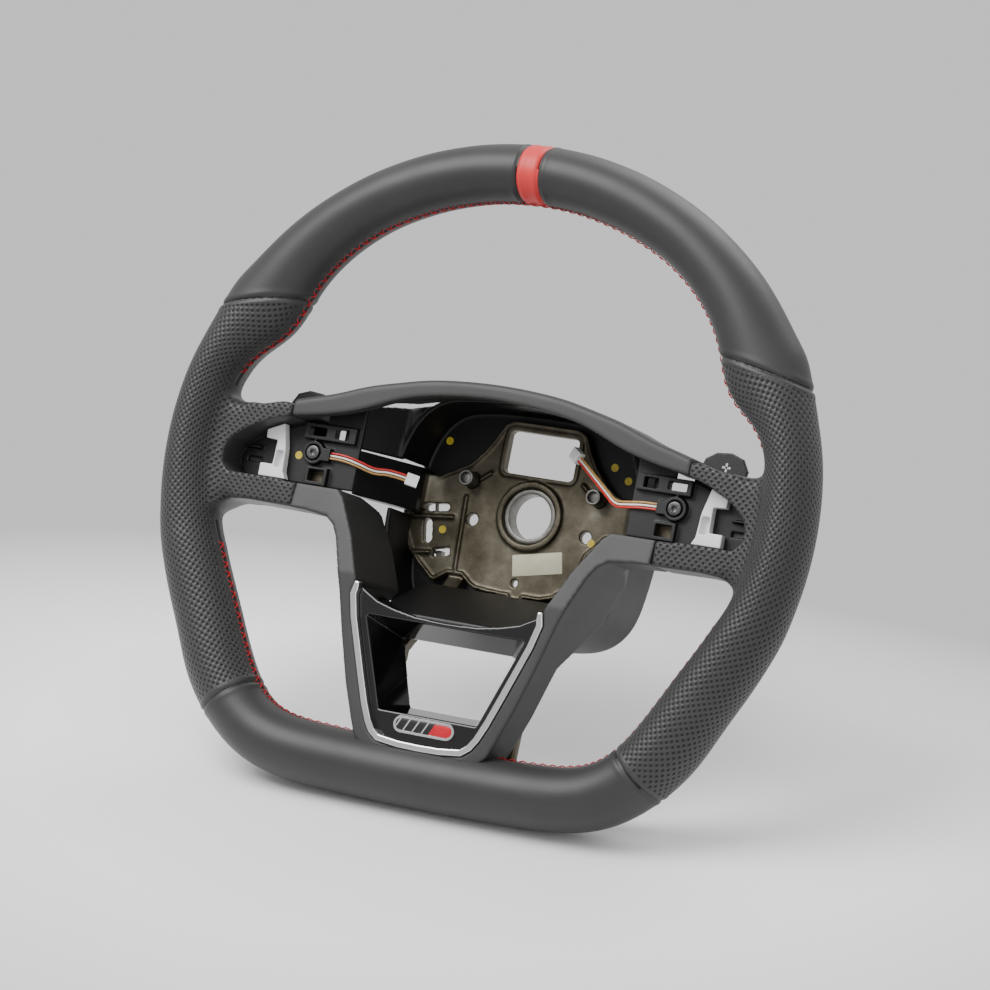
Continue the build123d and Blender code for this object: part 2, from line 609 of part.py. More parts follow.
# ---------------------------------------------------------------- switch carriers
CARRIER = [(78, 26), (78, 40.2), (85, 38.4), (92, 36.0), (99.4, 33.2), (99.4, 25.7), (104, 25.6), (112, 25.2), (124, 21), (135, 15.5), (143.5, 8.8), (145.8, 3.6),
           (145.4, -2.6), (141.8, -6.3), (112, -6.6), (96, -6.6), (78, -6.6)]
with BuildPart() as switch_carrier_right:
    with BuildSketch(front(ARM_FRONT - 0.1)):
        with BuildLine():
            Polyline(*CARRIER, close=True)
        make_face()
    extrude(amount=2.2)
    with BuildSketch(front(ARM_FRONT - 2)):
        # upper box, lower box, screw boss, end wall and ribs
        with Locations((95, 21.5)):
            Rectangle(30, 8.4)
        with Locations((99, -1.8)):
            Rectangle(12.5, 9.4)
        with Locations((SCREW_X, SCREW_Z)):
            Circle(6.2)
        with Locations((95.6, 10)):
            Rectangle(5.2, 7)
        with Locations((138.5, 8.8)):
            Rectangle(9, 1.4)
    extrude(amount=4.0)
    with BuildSketch(front(ARM_FRONT)):
        with Locations((88, 21.6)):
            Rectangle(8, 5.4)
        with Locations((102.5, 21.6)):
            Rectangle(10, 4.4)
        with Locations((99, -1.6)):
            Rectangle(8.6, 6.3)
        with Locations((138, 2.4)):
            Rectangle(8, 2.6)
        with Locations((SCREW_X, SCREW_Z)):
            Circle(1.6)
    extrude(amount=20, mode=Mode.SUBTRACT)
    with BuildSketch(front(ARM_FRONT - 4.2)):
        with Locations((SCREW_X, SCREW_Z)):
            Circle(4.4)
    extrude(amount=20, mode=Mode.SUBTRACT)
with BuildPart() as switch_carrier_left:
    mirror(switch_carrier_right.part, about=Plane.YZ)

with BuildPart() as carrier_screws:
    with BuildSketch(front(ARM_FRONT - 4.2)):
        with Locations((-SCREW_X, SCREW_Z), (SCREW_X, SCREW_Z)):
            Circle(3.5)
    extrude(amount=2.2)
    with BuildSketch(front(ARM_FRONT + ARM_T - 0.5)):
        with Locations((-SCREW_X, SCREW_Z), (SCREW_X, SCREW_Z)):
            Circle(1.5)
    extrude(amount=ARM_T + 3.7)
    with BuildSketch(front(ARM_FRONT - 5.2)):
        with Locations((-SCREW_X, SCREW_Z), (SCREW_X, SCREW_Z)):
            RegularPolygon(1.6, 6)
    extrude(amount=4, mode=Mode.SUBTRACT)

CLIP = [(131, 18.6), (121.5, 23.0), (118.4, 10.3), (117.5, -2.4), (115.6, -6.1), (131.5, -6.1),
        (131.5, 0.7), (124.3, 0.7), (124, 13.8), (130.8, 14.2)]
with BuildPart() as switch_clip_right:
    with BuildSketch(front(ARM_FRONT - 2.4)):
        with BuildLine():
            Polyline(*CLIP, close=True)
        make_face()
    extrude(amount=5.5)
    with BuildSketch(front(ARM_FRONT - 4.0)):
        with Locations((121.2, 4)):
            Rectangle(4.2, 9)
    extrude(amount=10, mode=Mode.SUBTRACT)
with BuildPart() as switch_clip_left:
    mirror(switch_clip_right.part, about=Plane.YZ)

# ---------------------------------------------------------------- gear-change paddles
LEVER = [(96, 15), (102.2, 15), (104, 31), (107.5, 40), (113, 43.6), (121, 44.3), (127.5, 42), (131, 36), (129.5, 26),
         (126, 8), (122.5, -6), (116, -15), (107, -16.5), (103, -12), (102.2, -1), (96, -1)]
with BuildPart() as paddle_right:
    with BuildSketch(front(LEVER_FRONT + LEVER_T)):
        with BuildLine():
            Polyline(*LEVER, close=True)
        make_face()
    extrude(amount=LEVER_T)
    with BuildSketch(Plane(origin=(PIN_X, PIN_DEPTH - SEAT, -1.5), z_dir=(0, 0, 1))):
        Circle(3.4)
    extrude(amount=17)
    with BuildSketch(Plane(origin=(PIN_X, PIN_DEPTH - SEAT, -5), z_dir=(0, 0, 1))):
        Circle(PIN_R + PIN_CLEAR)
    extrude(amount=30, mode=Mode.SUBTRACT)
with BuildPart() as paddle_left:
    mirror(paddle_right.part, about=Plane.YZ)

with BuildPart() as paddle_housing_right:
    with BuildSketch(front(ARM_FRONT + ARM_T + 2.7)):
        with Locations((96, 5)):
            Rectangle(9.4, 30)
    extrude(amount=2.6)
    for z in (-10, 16.2):
        with BuildSketch(front(PIN_DEPTH + 3.8)):
            with Locations((96, z + 1.9)):
                Rectangle(9.4, 3.8)
        extrude(amount=PIN_DEPTH + 3.8 - ARM_FRONT - ARM_T - 0.1)
    with BuildSketch(Plane(origin=(PIN_X, PIN_DEPTH - SEAT, -30), z_dir=(0, 0, 1))):
        Circle(PIN_R)
    extrude(amount=80, mode=Mode.SUBTRACT)
with BuildPart() as paddle_housing_left:
    mirror(paddle_housing_right.part, about=Plane.YZ)

with BuildPart() as hinge_pins:
    for x in (-PIN_X, PIN_X):
        with BuildSketch(Plane(origin=(x, PIN_DEPTH - SEAT, -9.8), z_dir=(0, 0, 1))):
            Circle(PIN_R)
        extrude(amount=29.6)

with BuildPart() as paddle_springs:
    for x in (-PIN_X, PIN_X):
        with BuildSketch(Plane(origin=(x, PIN_DEPTH - SEAT, -6.0), z_dir=(0, 0, 1))):
            Circle(3.1)
            Circle(PIN_R + 0.2, mode=Mode.SUBTRACT)
        extrude(amount=4.0)

# ---------------------------------------------------------------- retaining wire
with BuildPart() as retaining_wire:
    with BuildLine():
        FilletPolyline((-66, 76.2 - SEAT, 4), (-58.5, 76.2 - SEAT, 1), (-55.5, 76.2 - SEAT, -14), (-57, 76.2 - SEAT, -24), (-48, 76.2 - SEAT, -29), radius=3)
    with BuildSketch(Plane(origin=(-66, 76.2 - SEAT, 4), z_dir=(7.5, 0, -3))):
        Circle(1.0)
    sweep()
    with BuildSketch(front(SEAT + PLATE_T + 4.4)):
        with Locations((-61.5, 2.2), (-50.5, -27.6)):
            Rectangle(3, 5)
    extrude(amount=4.4)
    add(back_cover.part, mode=Mode.SUBTRACT)

# ---------------------------------------------------------------- label and marks
with BuildPart() as hub_label:
    with BuildSketch(front(SEAT)):
        with Locations(Location((9.1, -24.2, 0), 11.6)):
            RectangleRounded(28.3, 11.4, 0.6)
    extrude(amount=0.2)

with BuildPart() as paint_marks:
    for x, z, depth in ((-48.8, -14, SEAT), (37, -8.8, SEAT), (-57, 34, FLOOR_DEPTH), (-46, -48, FLOOR_DEPTH),
                        (40, 33, FLOOR_DEPTH), (49, 27, FLOOR_DEPTH), (-112.6, 8.0, ARM_FRONT - 2.3)):
        with BuildSketch(front(depth)):
            with Locations((x, z)):
                Circle(2.1)
        extrude(amount=0.2)

# ---------------------------------------------------------------- cables
# Each side has three insulated wires side by side, from the switch carrier to
# a small plug that hangs in the bowl.
LEFT_ROUTE = [(-93.0, 10.6, 10.0), (-85.5, 10.6, 10.0), (-77.0, 11.4, 8.2), (-69.6, 17.5, 5.8), (-63.0, 22.0, 7.4), (-55.0, 26.0, 6.0)]
RIGHT_ROUTE = [(93.0, 10.6, 10.0), (85.5, 10.6, 10.0), (77.0, 11.4, 9.0), (67.0, 18.5, 8.8), (57.0, 28.0, 15.0), (44.5, 35.0, 23.5), (34.0, 40.0, 31.0)]


def corner_radii(points):
    """Arc at each corner of a route: 0.45 of the shorter run over tan(half turn)."""
    v = [Vector(*p) for p in points]
    out = []
    for i in range(1, len(v) - 1):
        a, b = v[i] - v[i - 1], v[i + 1] - v[i]
        out.append(0.45 * min(a.length, b.length) / tan(radians(a.get_angle(b)) / 2))
    return out


def wire_route(route, shift):
    return [(x + shift[0], y + shift[1] - SEAT, z + shift[2]) for x, y, z in route]


LEFT_SHIFT, RIGHT_SHIFT = (0.0, 0.35, 1.45), (0.0, 0.3, 1.47)


def wire(route, shift, k):
    points = wire_route(route, tuple(k * WIRE_PITCH / 1.5 * c for c in shift))
    # the last run ends square on the plug's back face
    way = (Vector(*route[-1]) - Vector(*route[-2])).normalized()
    over = k * WIRE_PITCH / 1.5 * (shift[0] * way.X + shift[1] * way.Y + shift[2] * way.Z)
    x, y, z = points[-1]
    points[-1] = (x - over * way.X, y - over * way.Y, z - over * way.Z)
    radii = corner_radii(points)
    with BuildPart() as run:
        with BuildLine() as path:
            FilletPolyline(*points, radius=radii)
        with BuildSketch(Plane(origin=points[0], z_dir=path.line % 0)):
            Circle(WIRE / 2)
        sweep()
    print("wire radii", [round(r, 1) for r in radii], "length", round(sum(e.length for e in path.edges()), 1),
          "volume/section", round(run.part.volume / (3.14159265 * WIRE ** 2 / 4), 1))
    return run


wire_left_red = wire(LEFT_ROUTE, LEFT_SHIFT, 1)
wire_left_white = wire(LEFT_ROUTE, LEFT_SHIFT, 0)
wire_left_yellow = wire(LEFT_ROUTE, LEFT_SHIFT, -1)
wire_right_red = wire(RIGHT_ROUTE, RIGHT_SHIFT, -1)
wire_right_white = wire(RIGHT_ROUTE, RIGHT_SHIFT, 0)
wire_right_yellow = wire(RIGHT_ROUTE, RIGHT_SHIFT, 1)


def plug(route):
    """Plug whose back face meets the wires' ends square on."""
    end, before = Vector(*route[-1]), Vector(*route[-2])
    way = (end - before).normalized()
    place = Plane(origin=(end.X, end.Y - SEAT, end.Z), x_dir=(0, 0, 1), z_dir=(way.X, way.Y, way.Z))
    with BuildPart() as body:
        with BuildSketch(place):
            RectangleRounded(6.4, 3.8, 0.5)
        extrude(amount=6.5)
        with BuildSketch(place.offset(3.5)):
            with Locations((0, 0)):
                Rectangle(4.8, 2.2)
        extrude(amount=4, mode=Mode.SUBTRACT)
    return body


plug_left = plug(LEFT_ROUTE)
plug_right = plug(RIGHT_ROUTE)

# ---------------------------------------------------------------- write
for piece, label in [
    (armature, "armature"), (hub_bush, "hub_bush"), (locating_sleeves, "locating_sleeves"),
    (rim_core, "rim_core"), (rim_foam, "rim_foam"), (leather_top_right, "leather_top_right"),
    (leather_top_left, "leather_top_left"), (leather_marker, "leather_marker"),
    (leather_bottom, "leather_bottom"), (leather_grip_right, "leather_grip_right"),
    (leather_grip_left, "leather_grip_left"), (seam_thread, "seam_thread"),
    (surround_top, "surround_top"), (surround_vee, "surround_vee"), (chrome_strip, "chrome_strip"),
    (v_insert, "v_insert"), (badge_frame, "badge_frame"), (badge_inlay, "badge_inlay"),
    (back_cover, "back_cover"), (cover_screws, "cover_screws"), (lower_bowl, "lower_bowl"),
    (arm_cover_right, "arm_cover_right"), (arm_cover_left, "arm_cover_left"),
    (switch_carrier_right, "switch_carrier_right"), (switch_carrier_left, "switch_carrier_left"),
    (carrier_screws, "carrier_screws"), (switch_clip_right, "switch_clip_right"),
    (switch_clip_left, "switch_clip_left"), (paddle_right, "paddle_right"),
    (paddle_left, "paddle_left"), (paddle_housing_right, "paddle_housing_right"),
    (paddle_housing_left, "paddle_housing_left"), (hinge_pins, "hinge_pins"),
    (paddle_springs, "paddle_springs"), (retaining_wire, "retaining_wire"),
    (hub_label, "hub_label"), (paint_marks, "paint_marks"),
    (wire_left_red, "wire_left_red"), (wire_left_white, "wire_left_white"),
    (wire_left_yellow, "wire_left_yellow"), (wire_right_red, "wire_right_red"),
    (wire_right_white, "wire_right_white"), (wire_right_yellow, "wire_right_yellow"),
    (plug_left, "plug_left"), (plug_right, "plug_right"),
]:
    finish(piece, label)
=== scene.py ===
import math

import bmesh
import bpy
import numpy as np
from mathutils import Matrix, Vector


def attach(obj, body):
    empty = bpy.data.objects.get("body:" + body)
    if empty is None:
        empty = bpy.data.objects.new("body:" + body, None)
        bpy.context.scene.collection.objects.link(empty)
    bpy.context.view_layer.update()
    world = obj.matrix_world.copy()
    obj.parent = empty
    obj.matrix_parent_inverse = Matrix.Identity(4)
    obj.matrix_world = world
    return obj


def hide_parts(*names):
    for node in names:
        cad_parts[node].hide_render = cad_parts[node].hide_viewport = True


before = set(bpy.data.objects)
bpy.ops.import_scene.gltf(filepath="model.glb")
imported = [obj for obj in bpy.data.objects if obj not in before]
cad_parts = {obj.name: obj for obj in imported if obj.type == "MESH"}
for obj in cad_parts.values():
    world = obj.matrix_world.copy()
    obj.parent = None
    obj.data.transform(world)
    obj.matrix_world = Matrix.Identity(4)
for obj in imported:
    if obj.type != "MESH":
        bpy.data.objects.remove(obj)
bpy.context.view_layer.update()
scene = bpy.context.scene
MM = 0.001
SEAT = 69.0          # rim centre plane to the hub plate's front face, mm

# ------------------------------------------------------------------ camera
cam_data = bpy.data.cameras.new("camera")
cam = bpy.data.objects.new("camera", cam_data)
scene.collection.objects.link(cam)
cam_data.sensor_width = 36.0
cam_data.lens = 129.4
cam_data.clip_start, cam_data.clip_end = 0.05, 50.0
right = Vector((0.89932, 0.39235, 0.19309)).normalized()
fwd = Vector((-0.41347, 0.90670, 0.08335)).normalized()
upv = right.cross(fwd).normalized()
right = fwd.cross(upv).normalized()
rot = Matrix((right, upv, -fwd)).transposed().to_4x4()
cam.matrix_world = Matrix.Translation(Vector((757.4, -1641.5 - SEAT, -148.7)) * MM) @ rot
scene.camera = cam

# ------------------------------------------------------------------ the two cables' wires
WIRE_D = 0.0011
ROUTES = {
    "wire_left_red": [(-0.093000, -0.058050, 0.011450), (-0.085500, -0.058050, 0.011450), (-0.077000, -0.057250, 0.009650), (-0.069600, -0.051150, 0.007250), (-0.063000, -0.046650, 0.008850), (-0.054939, -0.042619, 0.007439)],
    "wire_left_white": [(-0.093000, -0.058400, 0.010000), (-0.085500, -0.058400, 0.010000), (-0.077000, -0.057600, 0.008200), (-0.069600, -0.051500, 0.005800), (-0.063000, -0.047000, 0.007400), (-0.055000, -0.043000, 0.006000)],
    "wire_left_yellow": [(-0.093000, -0.058750, 0.008550), (-0.085500, -0.058750, 0.008550), (-0.077000, -0.057950, 0.006750), (-0.069600, -0.051850, 0.004350), (-0.063000, -0.047350, 0.005950), (-0.055061, -0.043381, 0.004561)],
    "wire_right_red": [(0.093000, -0.058700, 0.008530), (0.085500, -0.058700, 0.008530), (0.077000, -0.057900, 0.007530), (0.067000, -0.050800, 0.007330), (0.057000, -0.041300, 0.013530), (0.044500, -0.034300, 0.022030), (0.033313, -0.028973, 0.030021)],
    "wire_right_white": [(0.093000, -0.058400, 0.010000), (0.085500, -0.058400, 0.010000), (0.077000, -0.057600, 0.009000), (0.067000, -0.050500, 0.008800), (0.057000, -0.041000, 0.015000), (0.044500, -0.034000, 0.023500), (0.034000, -0.029000, 0.031000)],
    "wire_right_yellow": [(0.093000, -0.058100, 0.011470), (0.085500, -0.058100, 0.011470), (0.077000, -0.057300, 0.010470), (0.067000, -0.050200, 0.010270), (0.057000, -0.040700, 0.016470), (0.044500, -0.033700, 0.024970), (0.034687, -0.029027, 0.031979)],
}
wires = {}
for wire_name, wire_points in ROUTES.items():
    line = bpy.data.curves.new("v_" + wire_name, "CURVE")
    line.dimensions = "3D"
    sp = line.splines.new("NURBS")
    sp.points.add(len(wire_points) - 1)
    for cp, xyz in zip(sp.points, wire_points):
        cp.co = (*xyz, 1.0)
        cp.radius = 0.01
    sp.order_u = 3
    sp.use_endpoint_u = True
    sp.resolution_u = 8
    line.bevel_depth = WIRE_D / 2 / 0.01
    line.bevel_resolution = 3
    line.use_fill_caps = True
    wo = bpy.data.objects.new("v_" + wire_name, line)
    scene.collection.objects.link(wo)
    wires[wire_name] = wo
    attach(wo, "wheel")
    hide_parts(wire_name)

# ------------------------------------------------------------------ node helpers


class Tree:
    """Small helper that adds and links shader nodes."""

    def __init__(self, name):
        self.mat = bpy.data.materials.new(name)
        self.mat.use_nodes = True
        self.nt = self.mat.node_tree
        self.nodes, self.links = self.nt.nodes, self.nt.links
        self.bsdf = self.nodes["Principled BSDF"]
        self.out = self.nodes["Material Output"]

    def add(self, kind, **props):
        n = self.nodes.new(kind)
        for k, v in props.items():
            setattr(n, k, v)
        return n

    def put(self, socket, value):
        if isinstance(value, bpy.types.NodeSocket):
            self.links.new(value, socket)
        else:
            socket.default_value = value

    def math(self, op, a, b=None, c=None, clamp=False):
        n = self.add("ShaderNodeMath", operation=op, use_clamp=clamp)
        for i, v in enumerate((a, b, c)):
            if v is not None:
                self.put(n.inputs[i], v)
        return n.outputs[0]

    def noise(self, vec, scale, detail=3.0, rough=0.55, kind="ShaderNodeTexNoise"):
        n = self.add(kind)
        self.put(n.inputs["Vector"], vec)
        n.inputs["Scale"].default_value = scale
        n.inputs["Detail"].default_value = detail
        n.inputs["Roughness"].default_value = rough
        return n.outputs["Fac"]

    def voronoi(self, vec, scale, feature="F1"):
        n = self.add("ShaderNodeTexVoronoi", feature=feature)
        self.put(n.inputs["Vector"], vec)
        n.inputs["Scale"].default_value = scale
        return n.outputs["Distance"]

    def ramp(self, fac, stops):
        n = self.add("ShaderNodeValToRGB")
        e = n.color_ramp.elements
        while len(e) < len(stops):
            e.new(0.5)
        for el, (p, c) in zip(e, stops):
            el.position = p
            el.color = (*c, 1.0) if len(c) == 3 else c
        self.put(n.inputs[0], fac)
        return n.outputs[0]

    def mix(self, fac, a, b):
        n = self.add("ShaderNodeMix", data_type="RGBA")
        self.put(n.inputs[0], fac)
        for s, v in ((n.inputs[6], a), (n.inputs[7], b)):
            if isinstance(v, bpy.types.NodeSocket):
                self.links.new(v, s)
            else:
                s.default_value = (*v, 1.0) if len(v) == 3 else v
        return n.outputs[2]

    def coord(self):
        return self.add("ShaderNodeTexCoord").outputs["Object"]

    def attr(self, name):
        return self.add("ShaderNodeAttribute", attribute_name=name)

    def bump(self, height, strength, distance, below=None):
        n = self.add("ShaderNodeBump")
        n.inputs["Strength"].default_value = strength
        n.inputs["Distance"].default_value = distance
        self.put(n.inputs["Height"], height)
        if below is not None:
            self.links.new(below, n.inputs["Normal"])
        return n.outputs[0]


def grain_material(name, dark, light, rough, rough_var=0.06, cell=0.9, bump=0.25, spec=0.5,
                   sheen=0.0, coat=0.0, coat_rough=0.1, cloud=18.0, metal=0.0):
    """Moulded or hide surface: fine pebble grain, slow tone changes. cell is the grain size in mm."""
    t = Tree(name)
    co = t.coord()
    slow = t.noise(co, cloud, 4.0, 0.6)
    base = t.ramp(slow, [(0.3, dark), (0.72, light)])
    t.links.new(base, t.bsdf.inputs["Base Color"])
    cells = t.voronoi(co, 1000.0 / cell)
    fine = t.noise(co, 2200.0, 2.0, 0.5)
    height = t.math("ADD", t.math("MULTIPLY", cells, 0.8), t.math("MULTIPLY", fine, 0.25))
    nrm = t.bump(height, bump, 0.00012)
    t.links.new(nrm, t.bsdf.inputs["Normal"])
    r = t.math("ADD", rough - rough_var / 2, t.math("MULTIPLY", t.noise(co, 60.0, 3.0), rough_var))
    t.links.new(r, t.bsdf.inputs["Roughness"])
    t.bsdf.inputs["Specular IOR Level"].default_value = spec
    t.bsdf.inputs["Sheen Weight"].default_value = sheen
    t.bsdf.inputs["Sheen Roughness"].default_value = 0.45
    t.bsdf.inputs["Coat Weight"].default_value = coat
    t.bsdf.inputs["Coat Roughness"].default_value = coat_rough
    t.bsdf.inputs["Metallic"].default_value = metal
    return t.mat


def perforated_material(name, dark, light, rough, pitch=3.7, hole=0.74):
    """Hide with staggered punched holes, laid out on the hide's own length and width (mm)."""
    t = Tree(name)
    co = t.coord()

    def dots(attr):
        a = t.attr(attr)
        sep = t.add("ShaderNodeSeparateXYZ")
        t.links.new(a.outputs["Vector"], sep.inputs[0])
        v = t.math("DIVIDE", sep.outputs[1], pitch * 0.5)
        row = t.math("FLOOR", v)
        odd = t.math("MULTIPLY", t.math("PINGPONG", row, 1.0), 0.5)
        u = t.math("ADD", t.math("DIVIDE", sep.outputs[0], pitch), odd)
        fu = t.math("MULTIPLY", t.math("SUBTRACT", t.math("FRACT", u), 0.5), pitch)
        fv = t.math("MULTIPLY", t.math("SUBTRACT", t.math("FRACT", v), 0.5), pitch * 0.5)
        d = t.math("SQRT", t.math("ADD", t.math("MULTIPLY", fu, fu), t.math("MULTIPLY", fv, fv)))
        # 1 in the hole, 0 on the hide; and a wider dimple round it
        core = t.math("SUBTRACT", 1.0, t.math("DIVIDE", t.math("SUBTRACT", d, hole * 0.72), hole * 0.45), clamp=True)
        dimple = t.math("SUBTRACT", 1.0, t.math("DIVIDE", d, hole * 2.0), clamp=True)
        return core, dimple

    c1, d1 = dots("hide")
    c2, d2 = dots("flat")
    pick = t.math("GREATER_THAN", t.attr("arm").outputs["Fac"], 0.5)
    keep = t.math("SUBTRACT", 1.0, pick)
    core = t.math("ADD", t.math("MULTIPLY", c1, keep), t.math("MULTIPLY", c2, pick))
    dimple = t.math("ADD", t.math("MULTIPLY", d1, keep), t.math("MULTIPLY", d2, pick))
    plain = t.attr("plain").outputs["Fac"]
    core = t.math("MULTIPLY", core, t.math("SUBTRACT", 1.0, plain))
    dimple = t.math("MULTIPLY", dimple, t.math("SUBTRACT", 1.0, plain))
    slow = t.noise(co, 18.0, 4.0, 0.6)
    base = t.ramp(slow, [(0.3, dark), (0.72, light)])
    # the holes are painted near-black: partly the black foam under the hide, partly painted shade inside each hole
    colour = t.mix(core, base, (0.003, 0.003, 0.003))
    t.links.new(colour, t.bsdf.inputs["Base Color"])
    cells = t.voronoi(co, 1000.0 / 0.95)
    height = t.math("SUBTRACT", t.math("MULTIPLY", cells, 0.25), t.math("ADD", t.math("MULTIPLY", core, 2.0), t.math("MULTIPLY", dimple, 1.6)))
    t.links.new(t.bump(height, 0.9, 0.00026), t.bsdf.inputs["Normal"])
    r = t.math("ADD", rough, t.math("MULTIPLY", core, 0.3), clamp=True)
    t.links.new(r, t.bsdf.inputs["Roughness"])
    t.bsdf.inputs["Specular IOR Level"].default_value = 0.45
    t.bsdf.inputs["Sheen Weight"].default_value = 0.06
    t.bsdf.inputs["Sheen Roughness"].default_value = 0.45
    return t.mat


def metal_material(name, stops, rough, rough_var=0.2, bump=0.2, scale=40.0, metal=0.85, cell=0.8):
    t = Tree(name)
    co = t.coord()
    slow = t.noise(co, scale, 6.0, 0.62)
    t.links.new(t.ramp(slow, stops), t.bsdf.inputs["Base Color"])
    t.bsdf.inputs["Metallic"].default_value = metal
    r = t.math("ADD", rough, t.math("MULTIPLY", t.math("SUBTRACT", t.noise(co, scale * 1.7, 5.0, 0.6), 0.5), rough_var))
    t.links.new(r, t.bsdf.inputs["Roughness"])
    cells = t.voronoi(co, 1000.0 / cell)
    h = t.math("ADD", t.math("MULTIPLY", cells, 0.4), t.math("MULTIPLY", t.noise(co, 420.0, 4.0, 0.6), 0.9))
    t.links.new(t.bump(h, bump, 0.0002), t.bsdf.inputs["Normal"])
    return t.mat


# ------------------------------------------------------------------ materials
M = {}
M["leather"] = grain_material("leather_smooth", (0.0185, 0.0185, 0.0184), (0.026, 0.026, 0.0258), 0.49, 0.08, 0.75, 0.20, 0.42, 0.03)
M["perforated"] = perforated_material("leather_perforated", (0.0205, 0.0206, 0.0203), (0.029, 0.029, 0.0286), 0.48)
M["red_leather"] = grain_material("leather_red", (0.50, 0.026, 0.026), (0.60, 0.036, 0.034), 0.48, 0.08, 0.75, 0.18, 0.38, 0.0)
M["thread"] = grain_material("thread_red", (0.33, 0.006, 0.010), (0.46, 0.014, 0.018), 0.62, 0.1, 0.25, 0.5, 0.25, 0.0)
M["soft"] = grain_material("soft_touch", (0.0215, 0.0213, 0.021), (0.031, 0.0307, 0.030), 0.52, 0.08, 0.6, 0.30, 0.42, 0.0)
M["black"] = grain_material("black_plastic", (0.0032, 0.0032, 0.0033), (0.0062, 0.0062, 0.0064), 0.44, 0.12, 0.7, 0.30, 0.40, 0.0)
M["foam"] = grain_material("foam_black", (0.010, 0.010, 0.010), (0.018, 0.018, 0.018), 0.66, 0.1, 0.8, 0.5, 0.3, 0.0)
M["white"] = grain_material("white_plastic", (0.70, 0.71, 0.72), (0.80, 0.80, 0.80), 0.42, 0.08, 0.8, 0.12, 0.5, 0.0)
M["mark"] = grain_material("mark_paint", (0.42, 0.42, 0.42), (0.52, 0.52, 0.52), 0.5, 0.08, 0.8, 0.1, 0.4, 0.0)
M["label"] = grain_material("label_film", (0.46, 0.45, 0.32), (0.60, 0.58, 0.43), 0.45, 0.1, 1.5, 0.08, 0.5, 0.0, cloud=60.0)
M["paint"] = grain_material("paint_yellow", (0.50, 0.38, 0.02), (0.72, 0.56, 0.05), 0.35, 0.15, 0.6, 0.3, 0.5, 0.0, cloud=300.0)
M["wire_red"] = grain_material("wire_red", (0.42, 0.012, 0.012), (0.55, 0.03, 0.02), 0.38, 0.08, 0.5, 0.1, 0.5, 0.0)
M["wire_white"] = grain_material("wire_white", (0.66, 0.64, 0.60), (0.80, 0.78, 0.74), 0.38, 0.08, 0.5, 0.1, 0.5, 0.0)
M["wire_yellow"] = grain_material("wire_yellow", (0.30, 0.16, 0.05), (0.45, 0.26, 0.08), 0.38, 0.08, 0.5, 0.1, 0.5, 0.0)
M["badge_red"] = grain_material("badge_red", (0.42, 0.004, 0.012), (0.52, 0.008, 0.018), 0.18, 0.06, 1.0, 0.05, 0.5, 0.0, 1.0, 0.05)
M["cast"] = metal_material("die_cast", [(0.30, (0.040, 0.033, 0.021)), (0.46, (0.078, 0.067, 0.045)), (0.62, (0.125, 0.112, 0.082)), (0.8, (0.22, 0.205, 0.165))],
                           0.42, 0.28, 0.35, 46.0, 0.75, 0.7)
M["steel"] = metal_material("turned_steel", [(0.35, (0.12, 0.115, 0.105)), (0.7, (0.24, 0.232, 0.215))], 0.38, 0.12, 0.08, 90.0, 0.9, 0.5)
M["dark_steel"] = metal_material("dark_steel", [(0.35, (0.05, 0.05, 0.05)), (0.7, (0.12, 0.12, 0.12))], 0.35, 0.12, 0.08, 90.0, 0.9, 0.5)
t = Tree("badge_enamel")
co = t.coord()
sep = t.add("ShaderNodeSeparateXYZ")
t.links.new(co, sep.inputs[0])
lean = t.math("ADD", sep.outputs[0], t.math("MULTIPLY", t.math("ADD", sep.outputs[2], 0.121), -0.5))
red = t.math("GREATER_THAN", lean, 0.0045)
bars = t.math("GREATER_THAN", t.math("FRACT", t.math("MULTIPLY", t.math("SUBTRACT", lean, 0.1), 1.0 / 0.0052)), 0.84)
dark = t.mix(t.math("MULTIPLY", bars, t.math("SUBTRACT", 1.0, red)), (0.010, 0.010, 0.011), (0.30, 0.30, 0.31))
spot = t.ramp(t.noise(co, 300.0, 2.0), [(0.3, (0.40, 0.004, 0.012)), (0.7, (0.46, 0.008, 0.018))])
t.links.new(t.mix(red, dark, spot), t.bsdf.inputs["Base Color"])
t.links.new(t.math("ADD", 0.16, t.math("MULTIPLY", t.noise(co, 500.0, 2.0), 0.06)), t.bsdf.inputs["Roughness"])
M["badge_red"] = t.mat

M["chrome"] = metal_material("chrome", [(0.3, (0.62, 0.62, 0.63)), (0.7, (0.72, 0.72, 0.73))], 0.08, 0.05, 0.02, 60.0, 1.0, 2.0)

t = Tree("gloss_black")
co = t.coord()
t.links.new(t.ramp(t.noise(co, 25.0, 2.0), [(0.3, (0.0022, 0.0022, 0.0024)), (0.7, (0.0032, 0.0032, 0.0034))]), t.bsdf.inputs["Base Color"])
t.links.new(t.math("ADD", 0.07, t.math("MULTIPLY", t.noise(co, 350.0, 5.0, 0.7), 0.06)), t.bsdf.inputs["Roughness"])
t.links.new(t.bump(t.noise(co, 35.0, 2.0), 0.03, 0.0006), t.bsdf.inputs["Normal"])
t.bsdf.inputs["Specular IOR Level"].default_value = 0.42
t.bsdf.inputs["Coat Weight"].default_value = 0.15
t.bsdf.inputs["Coat Roughness"].default_value = 0.03
M["gloss"] = t.mat


# ------------------------------------------------------------------ mesh helpers
def new_object(name, verts, faces, material, smooth=True):
    me = bpy.data.meshes.new(name)
    me.from_pydata([tuple(v) for v in verts], [], [tuple(f) for f in faces])
    me.update()
    o = bpy.data.objects.new(name, me)
    scene.collection.objects.link(o)
    me.materials.append(material)
    if smooth:
        me.polygons.foreach_set("use_smooth", np.ones(len(me.polygons), bool))
    return o


def only(o):
    bpy.ops.object.select_all(action="DESELECT")
    o.select_set(True)
    bpy.context.view_layer.objects.active = o


def apply_all(o):
    only(o)
    for m in list(o.modifiers):
        bpy.ops.object.modifier_apply(modifier=m.name)


